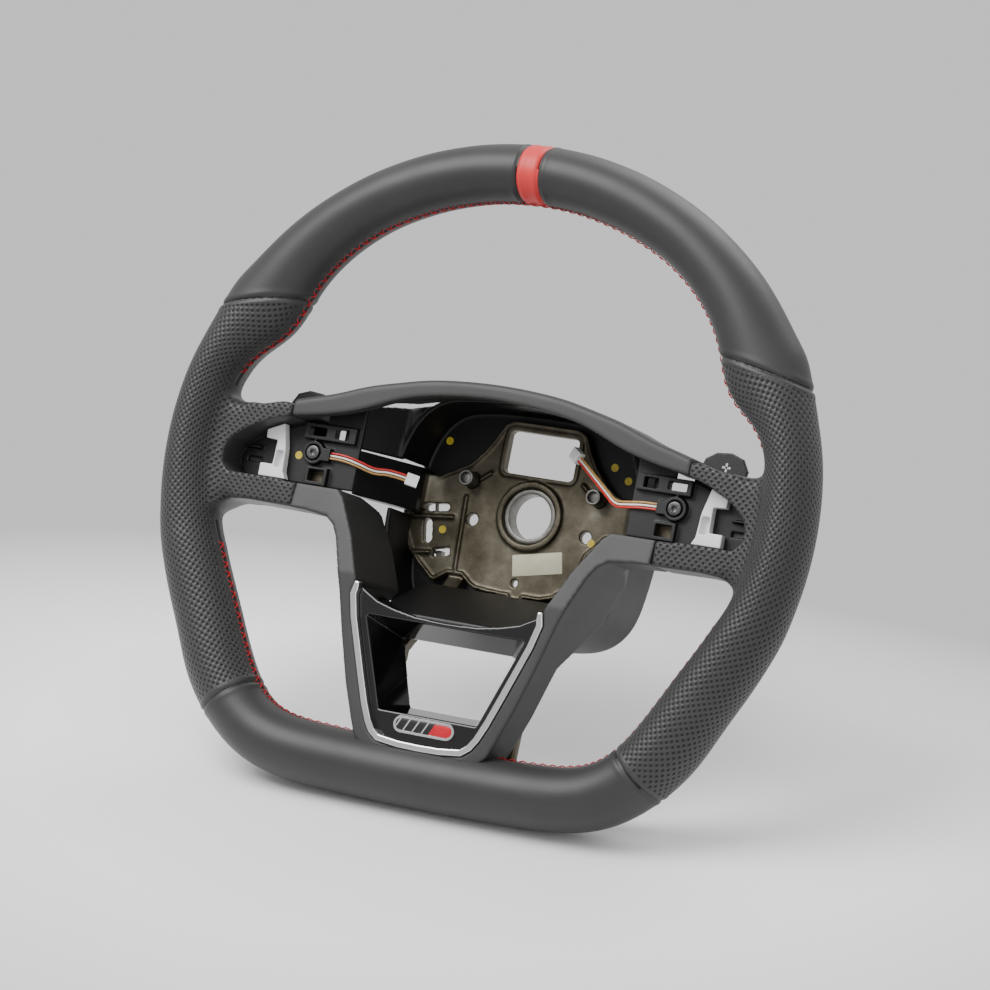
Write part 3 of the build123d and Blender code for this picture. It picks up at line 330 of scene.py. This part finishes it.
def cad_copy(node, name):
    """Welded copy of a CAD node's mesh, ready to be worked on."""
    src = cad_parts[node]
    me = src.data.copy()
    me.name = name
    bm = bmesh.new()
    bm.from_mesh(me)
    bmesh.ops.remove_doubles(bm, verts=bm.verts, dist=1e-6)
    bm.to_mesh(me)
    bm.free()
    o = bpy.data.objects.new(name, me)
    scene.collection.objects.link(o)
    for k in list(me.attributes.keys()):
        if k.startswith("custom_normal"):
            me.attributes.remove(me.attributes[k])
    return o


def set_material(o, material):
    o.data.materials.clear()
    o.data.materials.append(material)


def smooth_all(o):
    o.data.polygons.foreach_set("use_smooth", np.ones(len(o.data.polygons), bool))
    o.data.update()


def remesh(o, voxel, smooth=4, factor=0.5):
    """Voxel skin over the piece, then relaxed so that its edges round off."""
    m = o.modifiers.new("voxel", "REMESH")
    m.mode, m.voxel_size, m.use_smooth_shade = "VOXEL", voxel, True
    if smooth:
        s = o.modifiers.new("relax", "SMOOTH")
        s.factor, s.iterations = factor, smooth
    apply_all(o)
    smooth_all(o)
    return o


def moulded(node, material, voxel, smooth=4, body="wheel", factor=0.5):
    o = cad_copy(node, "v_" + node)
    remesh(o, voxel, smooth, factor)
    set_material(o, material)
    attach(o, body)
    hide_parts(node)
    return o


def bevelled(node, material, width, body="wheel", segments=2, angle=30):
    """The CAD piece with its sharp edges broken."""
    o = cad_copy(node, "v_" + node)
    b = o.modifiers.new("edge", "BEVEL")
    b.limit_method, b.angle_limit = "ANGLE", math.radians(angle)
    b.width, b.segments, b.harden_normals = width, segments, False
    b.use_clamp_overlap = True
    apply_all(o)
    smooth_all(o)
    only(o)
    bpy.ops.object.shade_auto_smooth(angle=math.radians(35))
    apply_all(o)
    set_material(o, material)
    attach(o, body)
    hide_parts(node)
    return o


# ------------------------------------------------------------------ the rim's form
RIM = [
    (90, 168.4, 15.3, 19.7), (85, 168.4, 15.3, 19.7), (80, 168.5, 15.3, 19.7),
    (75, 168.5, 15.3, 19.7), (70, 168.6, 15.3, 19.7), (65, 168.6, 15.3, 19.7),
    (60, 168.7, 15.3, 19.7), (55, 168.5, 15.5, 19.7), (50, 168.1, 16.0, 19.7),
    (45, 167.4, 16.8, 19.7), (40, 166.2, 17.9, 19.7), (35, 164.7, 19.7, 19.7),
    (30, 164.2, 21.0, 19.7), (25, 165.9, 18.1, 19.7), (20, 167.9, 14.9, 19.7),
    (15, 168.8, 13.9, 19.5), (10, 168.6, 13.8, 19.3), (5, 168.1, 13.8, 19.3),
    (0, 167.5, 13.9, 19.2), (-5, 166.6, 14.4, 19.1), (-10, 165.6, 15.1, 19.1),
    (-15, 164.5, 16.2, 19.0), (-20, 163.3, 16.7, 19.0), (-25, 162.5, 17.1, 19.0),
    (-30, 162.5, 17.3, 19.0), (-35, 163.9, 17.5, 19.2), (-40, 166.3, 17.7, 19.4),
    (-45, 168.3, 17.2, 19.6), (-50, 169.2, 16.6, 19.7), (-55, 168.1, 16.4, 19.7),
    (-60, 164.3, 16.3, 19.7), (-65, 159.0, 16.3, 19.7), (-70, 154.1, 16.3, 19.7),
    (-75, 150.3, 16.3, 19.7), (-80, 147.7, 16.3, 19.7), (-85, 146.2, 16.3, 19.7),
    (-90, 145.6, 16.3, 19.7),
]
_half = np.array(RIM, float)
_a = np.radians(_half[:, 0])
_right = np.stack([_half[:, 1] * np.cos(_a), _half[:, 1] * np.sin(_a), _half[:, 2], _half[:, 3]], 1)
_left = _right[1:-1][::-1] * np.array([-1, 1, 1, 1])
LOOP = np.concatenate([_right, _left])          # 72 stations: top, right, bottom, left
N_ST = len(LOOP)


def periodic_spline(P):
    """Second derivatives of the natural periodic cubic through equally spaced points."""
    n = len(P)
    A = np.zeros((n, n))
    for i in range(n):
        A[i, i] = 4
        A[i, (i - 1) % n] = A[i, (i + 1) % n] = 1
    rhs = 6 * (np.roll(P, -1, 0) - 2 * P + np.roll(P, 1, 0))
    return np.linalg.solve(A, rhs)


_M2 = periodic_spline(LOOP)


def along(u):
    """Centre (x, z), half width, half depth and their derivative at loop position u (0 to 72)."""
    u = np.mod(np.asarray(u, float), N_ST)
    i = np.floor(u).astype(int) % N_ST
    j = (i + 1) % N_ST
    b = (u - np.floor(u))[:, None]
    a = 1 - b
    P, Q = LOOP[i], LOOP[j]
    val = a * P + b * Q + ((a ** 3 - a) * _M2[i] + (b ** 3 - b) * _M2[j]) / 6
    der = Q - P + (-(3 * a ** 2 - 1) * _M2[i] + (3 * b ** 2 - 1) * _M2[j]) / 6
    return val, der


def rim_point(u, phi, grow=0.0):
    """Point on the rim (mm). phi is 0 outward, 90 degrees to the driver, 180 inward."""
    val, der = along(u)
    t = der[:, :2] / np.linalg.norm(der[:, :2], axis=1)[:, None]
    n = np.stack([-t[:, 1], t[:, 0]], 1)
    w, d = val[:, 2] + grow, val[:, 3] + grow
    c, s = np.cos(phi), np.sin(phi)
    return np.stack([val[:, 0] + n[:, 0] * w * c, -SEAT - d * s, val[:, 1] + n[:, 1] * w * c], -1)


_uu = np.linspace(0, N_ST, 7201)
_cc = along(_uu)[0][:, :2]
_ss = np.concatenate([[0], np.cumsum(np.linalg.norm(np.diff(_cc, axis=0), axis=1))])
LENGTH = _ss[-1]


def u_at(s):
    return np.interp(np.mod(s, LENGTH), _ss, _uu)


def s_at(u):
    return np.interp(np.mod(u, N_ST), _uu, _ss)


SEAM_PHI = math.radians(180 - 4)               # stitched join on the inner side
UP_Z, UP_X, UP_SLOPE = 83.0, 140.0, -0.19       # upper grip seam
LOW_X, LOW_Z, LOW_TURN = 116.0, -124.5, math.radians(-40.0)
MARK = 6.0                                      # half width of the red band


def seam_distances(p):
    """Signed distances (mm) to the grip seams and the marker's edges for points p (mm)."""
    ax = np.abs(p[:, 0])
    up = (p[:, 2] - (UP_Z + UP_SLOPE * (ax - UP_X))) / math.hypot(1, UP_SLOPE)
    nx, nz = -math.sin(LOW_TURN), math.cos(LOW_TURN)
    low = -((ax - LOW_X) * nx + (p[:, 2] - LOW_Z) * nz)
    return up, low, ax - MARK


def seam_relief(p, which=("up", "low", "mark")):
    """How far the hide dips (mm) at a folded seam, with a soft roll either side."""
    up, low, mark = seam_distances(p)
    out = np.zeros(len(p))
    near_low = (p[:, 2] < -60)
    for name, d, ok in (("up", up, p[:, 2] > 20), ("low", low, near_low), ("mark", mark, p[:, 2] > 100)):
        if name in which:
            g = -1.15 * np.exp(-(d / 0.75) ** 2) + 0.28 * np.exp(-((np.abs(d) - 2.4) / 1.3) ** 2)
            out += np.where(ok, g, 0)
    return out


def hide_coordinates(p):
    """Length and girth coordinates (mm) on the rim's hide for points p, with how far inside the rim they lie."""
    step = 6
    c = _cc[::step]
    uu = _uu[::step]
    q = p[:, [0, 2]]
    best = np.zeros(len(q), int)
    for k in range(0, len(q), 20000):
        d = ((q[k:k + 20000, None, :] - c[None, :, :]) ** 2).sum(-1)
        best[k:k + 20000] = d.argmin(1)
    u = uu[best]
    val, der = along(u)
    t = der[:, :2] / np.linalg.norm(der[:, :2], axis=1)[:, None]
    n = np.stack([-t[:, 1], t[:, 0]], 1)
    rel = q - val[:, :2]
    s = s_at(u) + (rel * t).sum(1)
    e = (rel * n).sum(1)
    phi = np.arctan2(-(p[:, 1] + SEAT) / val[:, 3], e / val[:, 2])
    turn = np.mod(phi - SEAM_PHI, 2 * math.pi)
    return s, turn * 17.4, e + val[:, 2]


def float_attr(o, name, values):
    a = o.data.attributes.new(name, "FLOAT", "POINT")
    a.data.foreach_set("value", np.asarray(values, np.float32))


def vec_attr(o, name, values):
    a = o.data.attributes.new(name, "FLOAT_VECTOR", "POINT")
    a.data.foreach_set("vector", np.asarray(values, np.float32).ravel())


def get_co(o):
    co = np.empty(len(o.data.vertices) * 3)
    o.data.vertices.foreach_get("co", co)
    return co.reshape(-1, 3)


def set_co(o, co):
    o.data.vertices.foreach_set("co", np.asarray(co).ravel())
    o.data.update()


def get_normals(o):
    n = np.empty(len(o.data.vertices) * 3)
    o.data.vertex_normals.foreach_get("vector", n)
    return n.reshape(-1, 3)


def rim_grid(s0, s1, step=1.0, around=120, grow=0.0):
    """Tube of the rim between two lengths along it, as a grid of vertices (mm)."""
    rows = max(8, int(round((s1 - s0) / step)))
    s = np.linspace(s0, s1, rows + 1)
    phi = SEAM_PHI + np.linspace(0, 2 * math.pi, around, endpoint=False)
    S, F = np.meshgrid(s, phi, indexing="ij")
    p = rim_point(u_at(S.ravel()), F.ravel(), grow)
    faces = []
    for i in range(rows):
        for j in range(around):
            k = (j + 1) % around
            faces.append((i * around + j, i * around + k, (i + 1) * around + k, (i + 1) * around + j))
    return p, faces, rows, around


def cut(o, point, normal):
    """Trims away what lies on the normal's side of a plane (metres)."""
    bm = bmesh.new()
    bm.from_mesh(o.data)
    bmesh.ops.bisect_plane(bm, geom=bm.verts[:] + bm.edges[:] + bm.faces[:], dist=1e-7,
                           plane_co=Vector(point), plane_no=Vector(normal), clear_outer=True)
    bm.to_mesh(o.data)
    bm.free()
    o.data.update()


def hem(o, depth=1.4):
    """Gives an open hide its thickness inward."""
    m = o.modifiers.new("hide", "SOLIDIFY")
    m.thickness, m.offset = depth * MM, -1.0
    apply_all(o)
    smooth_all(o)


def up_plane(side):
    """Point and upward normal of the upper grip seam on one side, in metres."""
    n = Vector((-UP_SLOPE * side, 0, 1)).normalized()
    return Vector((side * UP_X, -SEAT, UP_Z)) * MM, n


def low_plane(side):
    """Point and downward-outward normal of the lower grip seam on one side."""
    n = Vector((math.sin(LOW_TURN) * side, 0, -math.cos(LOW_TURN)))
    return Vector((side * LOW_X, -SEAT, LOW_Z)) * MM, n


s_right, s_bottom, s_left = s_at(np.array([18.0]))[0], s_at(np.array([36.0]))[0], s_at(np.array([54.0]))[0]


def smooth_hide(name, s0, s1, material, cuts, node):
    p, faces, rows, around = rim_grid(s0, s1)
    q = p + 0
    o = new_object(name, p * MM, faces, material)
    nrm = get_normals(o)
    turn = np.tile(2 * math.pi * np.arange(around) / around, rows + 1)
    turn = np.minimum(turn, 2 * math.pi - turn) * 17.4
    relief = seam_relief(q) - 0.8 * np.exp(-(turn / 0.9) ** 2)
    set_co(o, (p + nrm * relief[:, None]) * MM)
    for point, normal in cuts:
        cut(o, point, normal)
    hem(o)
    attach(o, "wheel")
    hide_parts(node)
    return o


mark_r = (Vector((MARK, -SEAT, 168)) * MM, Vector((-1, 0, 0)))
mark_l = (Vector((-MARK, -SEAT, 168)) * MM, Vector((1, 0, 0)))
pr, nr = up_plane(1)
pl, nl = up_plane(-1)
s_up = s_at(np.array([12.0]))[0]                # a little past the upper seam
smooth_hide("v_leather_top_right", 2.0, s_up + 30, M["leather"],
            [mark_r, (pr, -nr)], "leather_top_right")
smooth_hide("v_leather_top_left", LENGTH - s_up - 30, LENGTH - 2.0, M["leather"],
            [mark_l, (pl, -nl)], "leather_top_left")
smooth_hide("v_leather_marker", -9.0, 9.0, M["red_leather"],
            [(mark_r[0], -mark_r[1]), (mark_l[0], -mark_l[1])], "leather_marker")

# ------------------------------------------------------------------ bottom of the rim
smooth_hide("v_leather_bottom", s_at(np.array([26.3]))[0], s_at(np.array([45.7]))[0], M["leather"],
            [tuple([low_plane(1)[0], -low_plane(1)[1]]), tuple([low_plane(-1)[0], -low_plane(-1)[1]])], "leather_bottom")

# ------------------------------------------------------------------ grips with the spoke roots
Q = 1.0
ROOT = [(158, 32), (146, 30.5), (130, 30.5), (118, 33.5), (112.7, 33), (112.7, -8),
        (102, -8), (102, -21), (128, -20.5), (140, -21.5), (146, -26), (158, -30)]
POCKET = [(90, 27), (112.7, 26.5), (125, 22.5), (136, 17), (145, 10), (147.5, 4),
          (147, -3), (143, -7.5), (90, -7.5)]


def prism(name, outline, near, far, shrink=0.0):
    """Closed block over an outline in x and z (mm), between two depths."""
    n = len(outline)
    v = [(x, near - SEAT, z) for x, z in outline] + [(x, far - SEAT, z) for x, z in outline]
    f = [tuple(range(n)), tuple(reversed(range(n, 2 * n)))]
    f += [(i, i + n, (i + 1) % n + n, (i + 1) % n) for i in range(n)]
    me = bpy.data.meshes.new(name)
    me.from_pydata([tuple(c * MM for c in p) for p in v], [], f)
    bm = bmesh.new()
    bm.from_mesh(me)
    bmesh.ops.recalc_face_normals(bm, faces=bm.faces)
    bm.to_mesh(me)
    bm.free()
    o = bpy.data.objects.new(name, me)
    scene.collection.objects.link(o)
    return o


def relax(o, weight, times=20):
    """Laplacian smoothing, stronger where the weight is higher."""
    co = get_co(o)
    ed = np.empty(len(o.data.edges) * 2, np.int32)
    o.data.edges.foreach_get("vertices", ed)
    ed = ed.reshape(-1, 2)
    n = len(co)
    deg = np.bincount(ed.ravel(), minlength=n).astype(float)
    w = weight(co / MM)[:, None]
    for _ in range(times):
        acc = np.zeros_like(co)
        for k in range(3):
            acc[:, k] = np.bincount(ed[:, 0], co[ed[:, 1], k], n) + np.bincount(ed[:, 1], co[ed[:, 0], k], n)
        co += 0.6 * w * (acc / deg[:, None] - co)
    set_co(o, co)


def join(objs):
    only(objs[0])
    for o in objs[1:]:
        o.select_set(True)
    bpy.ops.object.join()
    return objs[0]


def grip(side, node):
    u0, u1 = (10.2, 29.2) if side > 0 else (N_ST - 29.2, N_ST - 10.2)
    p, faces, rows, around = rim_grid(s_at(np.array([u0]))[0], s_at(np.array([u1]))[0], 1.2)
    last = rows * around
    faces = faces + [tuple(reversed(range(around))), tuple(last + j for j in range(around))]
    o = new_object("v_" + node, p * MM, faces, M["perforated"])
    bm = bmesh.new()
    bm.from_mesh(o.data)
    bmesh.ops.recalc_face_normals(bm, faces=bm.faces)
    bm.to_mesh(o.data)
    bm.free()
    block = prism("root", [(side * x, z) for x, z in ROOT], -6, 22)
    o = join([o, block])
    remesh(o, 0.0012 * Q, 3)
    relax(o, lambda q: np.clip(1 - (np.abs(np.abs(q[:, 0]) - 151) - 8) / 6, 0, 1)
          * np.clip(1 - (np.abs(q[:, 2]) - 40) / 6, 0, 1), int(60 / Q))
    tool = prism("pocket", [(side * x, z) for x, z in POCKET], -40, 14.8)
    b = o.modifiers.new("pocket", "BOOLEAN")
    b.operation, b.solver, b.object = "DIFFERENCE", "EXACT", tool
    apply_all(o)
    bpy.data.objects.remove(tool)
    remesh(o, 0.00085 * Q, 3)
    # dip the hide along its normals at the grip seams and along the stitched join
    q = get_co(o) / MM
    s, turn, out = hide_coordinates(q)
    relief = seam_relief(q, ("up", "low"))
    d = np.minimum(turn, 2 * math.pi * 17.4 - turn)
    stitched = (out > -1) & ((q[:, 2] > 38) | (q[:, 2] < -34))
    relief += np.where(stitched, -0.9 * np.exp(-(d / 0.7) ** 2), 0)
    nrm = get_normals(o)
    set_co(o, (q + nrm * relief[:, None]) * MM)
    pu, nu = up_plane(side)
    pw, nw = low_plane(side)
    cut(o, pu, nu)
    cut(o, pw, nw)
    q = get_co(o) / MM
    s, turn, out = hide_coordinates(q)
    nrm = get_normals(o)
    up, low, _ = seam_distances(q)
    arm = np.where(out < 0.6, 1.0, 0.0)
    d = np.minimum(turn, 2 * math.pi * 17.4 - turn)
    plain = (np.abs(up) < 3.2) | ((np.abs(low) < 3.2) & (q[:, 2] < -60))
    plain |= (arm < 0.5) & (d < 5.0) & ((q[:, 2] > 36) | (q[:, 2] < -32))
    plain |= (arm > 0.5) & (nrm[:, 1] > -0.55)
    plain |= (arm > 0.5) & (q[:, 1] > 8 - SEAT)
    vec_attr(o, "hide", np.stack([s, turn, 0 * s], 1))
    vec_attr(o, "flat", np.stack([q[:, 0], q[:, 2], 0 * s], 1))
    float_attr(o, "arm", arm)
    float_attr(o, "plain", plain.astype(float))
    set_material(o, M["perforated"])
    smooth_all(o)
    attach(o, "wheel")
    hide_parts(node)
    return o


grip(1, "leather_grip_right")
grip(-1, "leather_grip_left")


# ------------------------------------------------------------------ cross stitches
def stitches():
    verts, faces = [], []
    R, SIDES = 0.27, 6
    girth = 17.4

    def tube(path):
        base = len(verts)
        n = len(path)
        path = np.array(path)
        for i in range(n):
            d = path[min(i + 1, n - 1)] - path[max(i - 1, 0)]
            d /= np.linalg.norm(d)
            a = np.cross(d, [0.31, 0.87, 0.38])
            a /= np.linalg.norm(a)
            b = np.cross(d, a)
            for k in range(SIDES):
                t = 2 * math.pi * k / SIDES
                verts.append(path[i] + R * (math.cos(t) * a + math.sin(t) * b))
        for i in range(n - 1):
            for k in range(SIDES):
                k2 = (k + 1) % SIDES
                faces.append((base + i * SIDES + k, base + i * SIDES + k2, base + (i + 1) * SIDES + k2, base + (i + 1) * SIDES + k))
        faces.append(tuple(base + k for k in reversed(range(SIDES))))
        faces.append(tuple(base + (n - 1) * SIDES + k for k in range(SIDES)))

    PITCH, HALF = 5.7, 2.2
    for u0, u1 in ((-14.6, 14.6), (21.6, 33.4), (N_ST - 33.4, N_ST - 21.6)):
        a, b = s_at(np.array([u0]))[0], s_at(np.array([u1]))[0]
        if u0 < 0:
            a -= LENGTH
        count = int((b - a) / PITCH)
        for i in range(count):
            s = a + (i + 0.5) * (b - a) / count
            for way in (1, -1):
                path = []
                for f in np.linspace(-1, 1, 7):
                    lift = -0.7 + 1.25 * (1 - abs(f) ** 3) + (0.28 if way > 0 else 0.0) * (1 - abs(f))
                    phi = SEAM_PHI + way * f * HALF / girth
                    path.append(rim_point(u_at(np.array([s + f * PITCH * 0.40])), np.array([phi]), lift)[0])
                tube(path)
    o = new_object("v_seam_thread", np.array(verts) * MM, faces, M["thread"])
    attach(o, "wheel")
    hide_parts("seam_thread")


stitches()

# ------------------------------------------------------------------ surround, insert and covers
moulded("surround_top", M["soft"], 0.0007 * Q, 5)
moulded("surround_vee", M["soft"], 0.0008 * Q, 5)
moulded("v_insert", M["gloss"], 0.0006 * Q, 4)
moulded("chrome_strip", M["chrome"], 0.00035 * Q, 6)
moulded("armature", M["cast"], 0.0007 * Q, 3)
bevelled("hub_bush", M["steel"], 0.0004)
bevelled("locating_sleeves", M["steel"], 0.0003)
moulded("back_cover", M["black"], 0.0008 * Q, 3)
moulded("lower_bowl", M["black"], 0.0008 * Q, 3)
moulded("arm_cover_right", M["black"], 0.0007 * Q, 3)
moulded("arm_cover_left", M["black"], 0.0007 * Q, 3)
moulded("switch_carrier_right", M["black"], 0.0004 * Q, 2)
moulded("switch_carrier_left", M["black"], 0.0004 * Q, 2)
moulded("switch_clip_right", M["white"], 0.00035 * Q, 3)
moulded("switch_clip_left", M["white"], 0.00035 * Q, 3)
moulded("paddle_right", M["black"], 0.0005 * Q, 4, "paddle_lever_right")
moulded("paddle_left", M["black"], 0.0005 * Q, 4, "paddle_lever_left")
bevelled("carrier_screws", M["dark_steel"], 0.0002)
bevelled("cover_screws", M["dark_steel"], 0.0002)
bevelled("badge_frame", M["chrome"], 0.00025)
bevelled("badge_inlay", M["badge_red"], 0.0001)
bevelled("hub_label", M["label"], 0.00004)



def paddle_mark(side, body):
    """Raised plus (right) or minus (left) near the tip of a paddle."""
    bars = [(4.6, 1.1)] + ([(1.1, 4.6)] if side > 0 else [])
    verts, faces = [], []
    for w, h in bars:
        b = len(verts)
        for y in (26.62, 26.28):
            for sx, sz in ((-1, -1), (1, -1), (1, 1), (-1, 1)):
                verts.append((side * 119.5 + sx * w / 2, y - SEAT, 36.5 + sz * h / 2))
        faces += [(b, b + 3, b + 2, b + 1), (b + 4, b + 5, b + 6, b + 7)]
        faces += [(b + i, b + (i + 1) % 4, b + 4 + (i + 1) % 4, b + 4 + i) for i in range(4)]
    o = new_object("mark_plus" if side > 0 else "mark_minus", np.array(verts) * MM, faces, M["mark"], False)
    bm = bmesh.new()
    bm.from_mesh(o.data)
    bmesh.ops.recalc_face_normals(bm, faces=bm.faces)
    bm.to_mesh(o.data)
    bm.free()
    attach(o, body)


paddle_mark(1, "paddle_lever_right")
paddle_mark(-1, "paddle_lever_left")

KEEP = {
    "rim_core": ("steel", "steel"), "rim_foam": ("foam", "foam_black"),
    "paddle_housing_right": ("black", "black_plastic"), "paddle_housing_left": ("black", "black_plastic"),
    "hinge_pins": ("steel", "steel"), "paddle_springs": ("dark_steel", "steel"),
    "retaining_wire": ("steel", "steel"), "paint_marks": ("paint", "paint_yellow"),
    "plug_left": ("white", "white_plastic"), "plug_right": ("white", "white_plastic"),
}
for node, (mat, _) in KEEP.items():
    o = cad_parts[node]
    for i in range(max(1, len(o.material_slots))):
        if len(o.data.materials) <= i:
            o.data.materials.append(M[mat])
        else:
            o.material_slots[i].material = M[mat]

for wire_name, wo in wires.items():
    colour = wire_name.split("_")[2]
    wo.data.materials.append(M["wire_" + colour])

# ------------------------------------------------------------------ stage
U = Vector((0.0, -0.4415, 0.8973)).normalized()
V = Vector((0.0, 0.8973, 0.4415)).normalized()
X = Vector((1.0, 0.0, 0.0))
touch = -0.1173
centre = U * touch + V * (-0.02)


def floor():
    n = 48
    verts, faces = [], []
    half_x, near, far = 0.62, -0.62, 0.30
    for i in range(n + 1):
        for j in range(n + 1):
            a = -half_x + 2 * half_x * i / n
            b = near + (far - near) * j / n
            verts.append(centre + X * a + V * b)
    for i in range(n):
        for j in range(n):
            k = i * (n + 1) + j
            faces.append((k, k + n + 1, k + n + 2, k + 1))
    me = bpy.data.meshes.new("floor")
    me.from_pydata([tuple(v) for v in verts], [], faces)
    me.update()
    o = bpy.data.objects.new("floor", me)
    scene.collection.objects.link(o)
    t = Tree("floor_paper")
    co = t.coord()
    base = t.ramp(t.noise(co, 4.0, 3.0), [(0.3, (0.78, 0.78, 0.78)), (0.7, (0.80, 0.80, 0.80))])
    t.links.new(base, t.bsdf.inputs["Base Color"])
    t.bsdf.inputs["Roughness"].default_value = 0.9
    t.bsdf.inputs["Specular IOR Level"].default_value = 0.1
    sep = t.add("ShaderNodeSeparateXYZ")
    t.links.new(co, sep.inputs[0])
    # distance along the floor from its middle, for soft edges
    along_v = t.math("ADD", t.math("MULTIPLY", sep.outputs[1], V.y), t.math("MULTIPLY", sep.outputs[2], V.z))
    along_v = t.math("SUBTRACT", along_v, float(centre.dot(V)))
    fx = t.math("DIVIDE", t.math("ABSOLUTE", sep.outputs[0]), 0.58)
    back = t.math("DIVIDE", t.math("MAXIMUM", along_v, 0.0), 0.27)
    fore = t.math("DIVIDE", t.math("MAXIMUM", t.math("MULTIPLY", along_v, -1.0), 0.0), 0.58)
    r = t.math("SQRT", t.math("ADD", t.math("MULTIPLY", fx, fx), t.math("ADD", t.math("MULTIPLY", back, back), t.math("MULTIPLY", fore, fore))))
    fade = t.math("DIVIDE", t.math("SUBTRACT", r, 0.45), 0.5, clamp=True)
    mixer = t.add("ShaderNodeMixShader")
    clear = t.add("ShaderNodeBsdfTransparent")
    t.links.new(fade, mixer.inputs[0])
    t.links.new(t.bsdf.outputs[0], mixer.inputs[1])
    t.links.new(clear.outputs[0], mixer.inputs[2])
    t.links.new(mixer.outputs[0], t.out.inputs["Surface"])
    me.materials.append(t.mat)


floor()


def area(name, where, at, size, power, size_y=None):
    d = bpy.data.lights.new(name, "AREA")
    d.energy = power
    d.size = size
    if size_y:
        d.shape, d.size_y = "RECTANGLE", size_y
    o = bpy.data.objects.new(name, d)
    scene.collection.objects.link(o)
    w = Vector(where)
    look = (Vector(at) - w).normalized()
    o.matrix_world = Matrix.Translation(w) @ look.to_track_quat("-Z", "Y").to_matrix().to_4x4()
    return o


area("key", U * 1.1 + V * (-0.5) + X * (-0.5), (0, 0, 0), 0.9, 26.0)
area("fill", U * 0.7 + V * (-0.9) + X * 0.9, (0, 0, 0), 1.1, 4.5)
area("back", U * 0.9 + V * 0.9 + X * 0.2, (0, 0, 0), 0.9, 10.0)

world = bpy.data.worlds.new("studio")
scene.world = world
world.use_nodes = True
bg = world.node_tree.nodes["Background"]
bg.inputs["Color"].default_value = (0.80, 0.80, 0.80, 1.0)
bg.inputs["Strength"].default_value = 1.0

bpy.context.view_layer.update()
